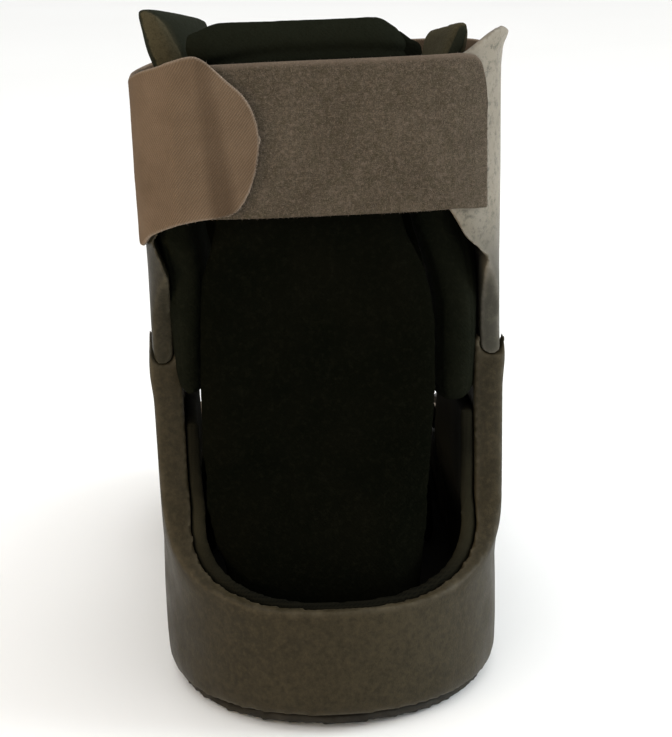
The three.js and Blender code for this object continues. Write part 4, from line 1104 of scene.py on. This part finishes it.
def end_seams(grid, out):
    """Two sewn runs across a foot strap near either end, as (point, normal) pairs."""
    seams = []
    run = run_along(grid[:, FOOT_COLUMNS // 2]) / MM
    for reach in (run, run[-1] - run):
        for far in (4.5, 7.5):
            row = int(np.abs(reach - far).argmin())
            seams.append([(grid[row, k] + out[row, k] * 0.1 * MM, out[row, k])
                          for k in range(5, grid.shape[1] - 5)])
    return seams


# ---------------------------------------------------------------- the boot

make_camera()
make_stage()

shell_mat = moulded_plastic("shell_plastic_look", srgb(40, 35, 22), srgb(49, 43, 29),
                            srgb(96, 88, 72), 0.1)
# painted light and shade: both cuffs are one plastic in two copies, darker for the shaded left
# cuff and paler for the right cuff lit from the right
cuff_mat = moulded_plastic("cuff_plastic_look", srgb(39, 36, 26), srgb(47, 43, 32),
                           srgb(96, 90, 76), 0.08)
# painted light: the right cuff's paler copy, with a still paler upper part, stands in for the
# light from the right
lit_cuff_mat = moulded_plastic("cuff_plastic_painted_light_look", srgb(52, 50, 42), srgb(60, 58, 48),
                           srgb(146, 139, 127), 0.15, painted_light_top=srgb(116, 109, 96))
ring_mat = moulded_plastic("ring_plastic_look", srgb(70, 68, 66), srgb(84, 82, 80),
                           srgb(150, 148, 144), 0.5, (0.25, 0.35))
sole_mat = rubber("sole_rubber_look", srgb(24, 21, 15), srgb(33, 30, 22))
# painted light: the pad and liner tops turn paler above the given heights, and the pads' lit faces
# take the band colour
pad_mat = pile_cloth("pad_fabric_look", srgb(12, 14, 8), srgb(18, 19, 12), srgb(30, 31, 22),
                     top=(0.2, 0.235, srgb(36, 38, 30)), band=srgb(68, 63, 47))
liner_mat = pile_cloth("liner_fabric_look", srgb(6, 7, 4), srgb(10, 10, 6), srgb(19, 19, 13),
                       600, 45, 0.0, top=(0.205, 0.243, srgb(26, 28, 21)))
lining_mat = foam_cloth("lining_foam_look", srgb(32, 30, 21), srgb(42, 39, 28), srgb(9, 9, 6))
bed_mat = foam_cloth("bed_foam_look", srgb(14, 14, 11), srgb(20, 19, 15))
loop_mat = loop_fabric("strap_loop_look")
hook_mat = hook_fabric("strap_hook_look", srgb(91, 76, 61), srgb(104, 88, 72), srgb(56, 44, 33))
foot_mat = hook_fabric("foot_strap_look", srgb(74, 66, 56), srgb(91, 82, 71), srgb(44, 38, 31),
                       band=False)
thread_mat = thread("thread_look", srgb(52, 50, 46), srgb(78, 75, 68))

# CAD node, material, slot, voxel in mm, rounds of smoothing, rounds of flowing normals
for node, mat, slot, voxel, rounds, flow in (
        ("lower_shell", shell_mat, "shell_plastic", 1.5, 4, 45),
        ("outsole", sole_mat, "sole_rubber", 1.85, 2, 20),
        ("strut_cuff_left", cuff_mat, "cuff_plastic", 0.95, 5, 50),
        ("strut_cuff_right", lit_cuff_mat, "cuff_plastic", 0.95, 5, 50),
        ("instep_ring", ring_mat, "ring_plastic", 0.6, 6, 10),
        ("forefoot_ring", ring_mat, "ring_plastic", 0.6, 6, 10)):
    moulded(node, node + "_piece", mat, slot, voxel, rounds, flow)

side_pad = {"voxel": 2.1, "shrink": 0.5, "pressure": 3, "cap": 0.9, "levels": 1, "fill": 0.6,
            "rounds": 5, "sew": sew_rear_band}
padding("side_pad_left", "side_pad_left_piece", pad_mat, "pad_fabric",
        shape=widened(3.0, 2.4, 176, 200, 5.0), **side_pad)
padding("side_pad_right", "side_pad_right_piece", pad_mat, "pad_fabric",
        shape=widened(3.0, 2.4, 176, 200), **side_pad)
padding("back_pad", "back_pad_piece", liner_mat, "liner_fabric", 2.6, 0.5, 3, 0.8, 1, 0.6,
        rounds=5, sew=sew_top_seam)
padding("front_pad", "front_pad_piece", liner_mat, "liner_fabric", 3.2, 0.6, 3, 1.0, 1, 0.6,
        shape=wider(1.09, 158, 166))
padding("foot_wrap", "foot_wrap_piece", liner_mat, "liner_fabric", 3.2, 0.4, 3, 0.8, 1, 0.4)
padding("shell_lining", "shell_lining_piece", lining_mat, "lining_foam", 1.2, 0.1, 1, 0.2, 0, 0.9,
        frames=3, rounds=10)
padding("footbed", "footbed_piece", bed_mat, "bed_foam", 2.4, 0.4, 2, 0.6, 0, 0.9,
        frames=8, rounds=4)

band_grid, band_out = make_loop_band(loop_mat, "strap_loop")
tab_grid, tab_out = make_hook_strap(hook_mat, "strap_hook")

fuzz_mat = thread("loop_fibre_look", srgb(84, 75, 65), srgb(122, 110, 98))
fray_mat = thread("fray_fibre_look", srgb(132, 118, 104), srgb(172, 158, 142))
band_face = face_fibres(band_grid, band_out, 4500)
fibres("calf_band_fuzz", *band_face, fuzz_mat, "strap_loop", 0.9, 0.045)
band_borders = border_fibres(band_grid, band_out, ("end", "end", "top", "bottom"), 1100)
fibres("calf_band_fray", *band_borders, fuzz_mat, "strap_loop", 0.75, 0.04)
# only the tab at the strap's end is frayed
tab = slice(len(tab_grid) - 90, None)
tab_borders = border_fibres(tab_grid[tab], tab_out[tab], ("end", "top", "bottom"), 900)
fibres("calf_tab_fray", *tab_borders, fray_mat, "strap_hook", 0.8, 0.04)
for strap in ("instep_strap", "forefoot_strap"):
    strap_grid, strap_out = make_foot_strap(strap, strap + "_piece", foot_mat, "strap_hook")
    stitches(strap + "_stitches", end_seams(strap_grid, strap_out), thread_mat, "strap_hook")
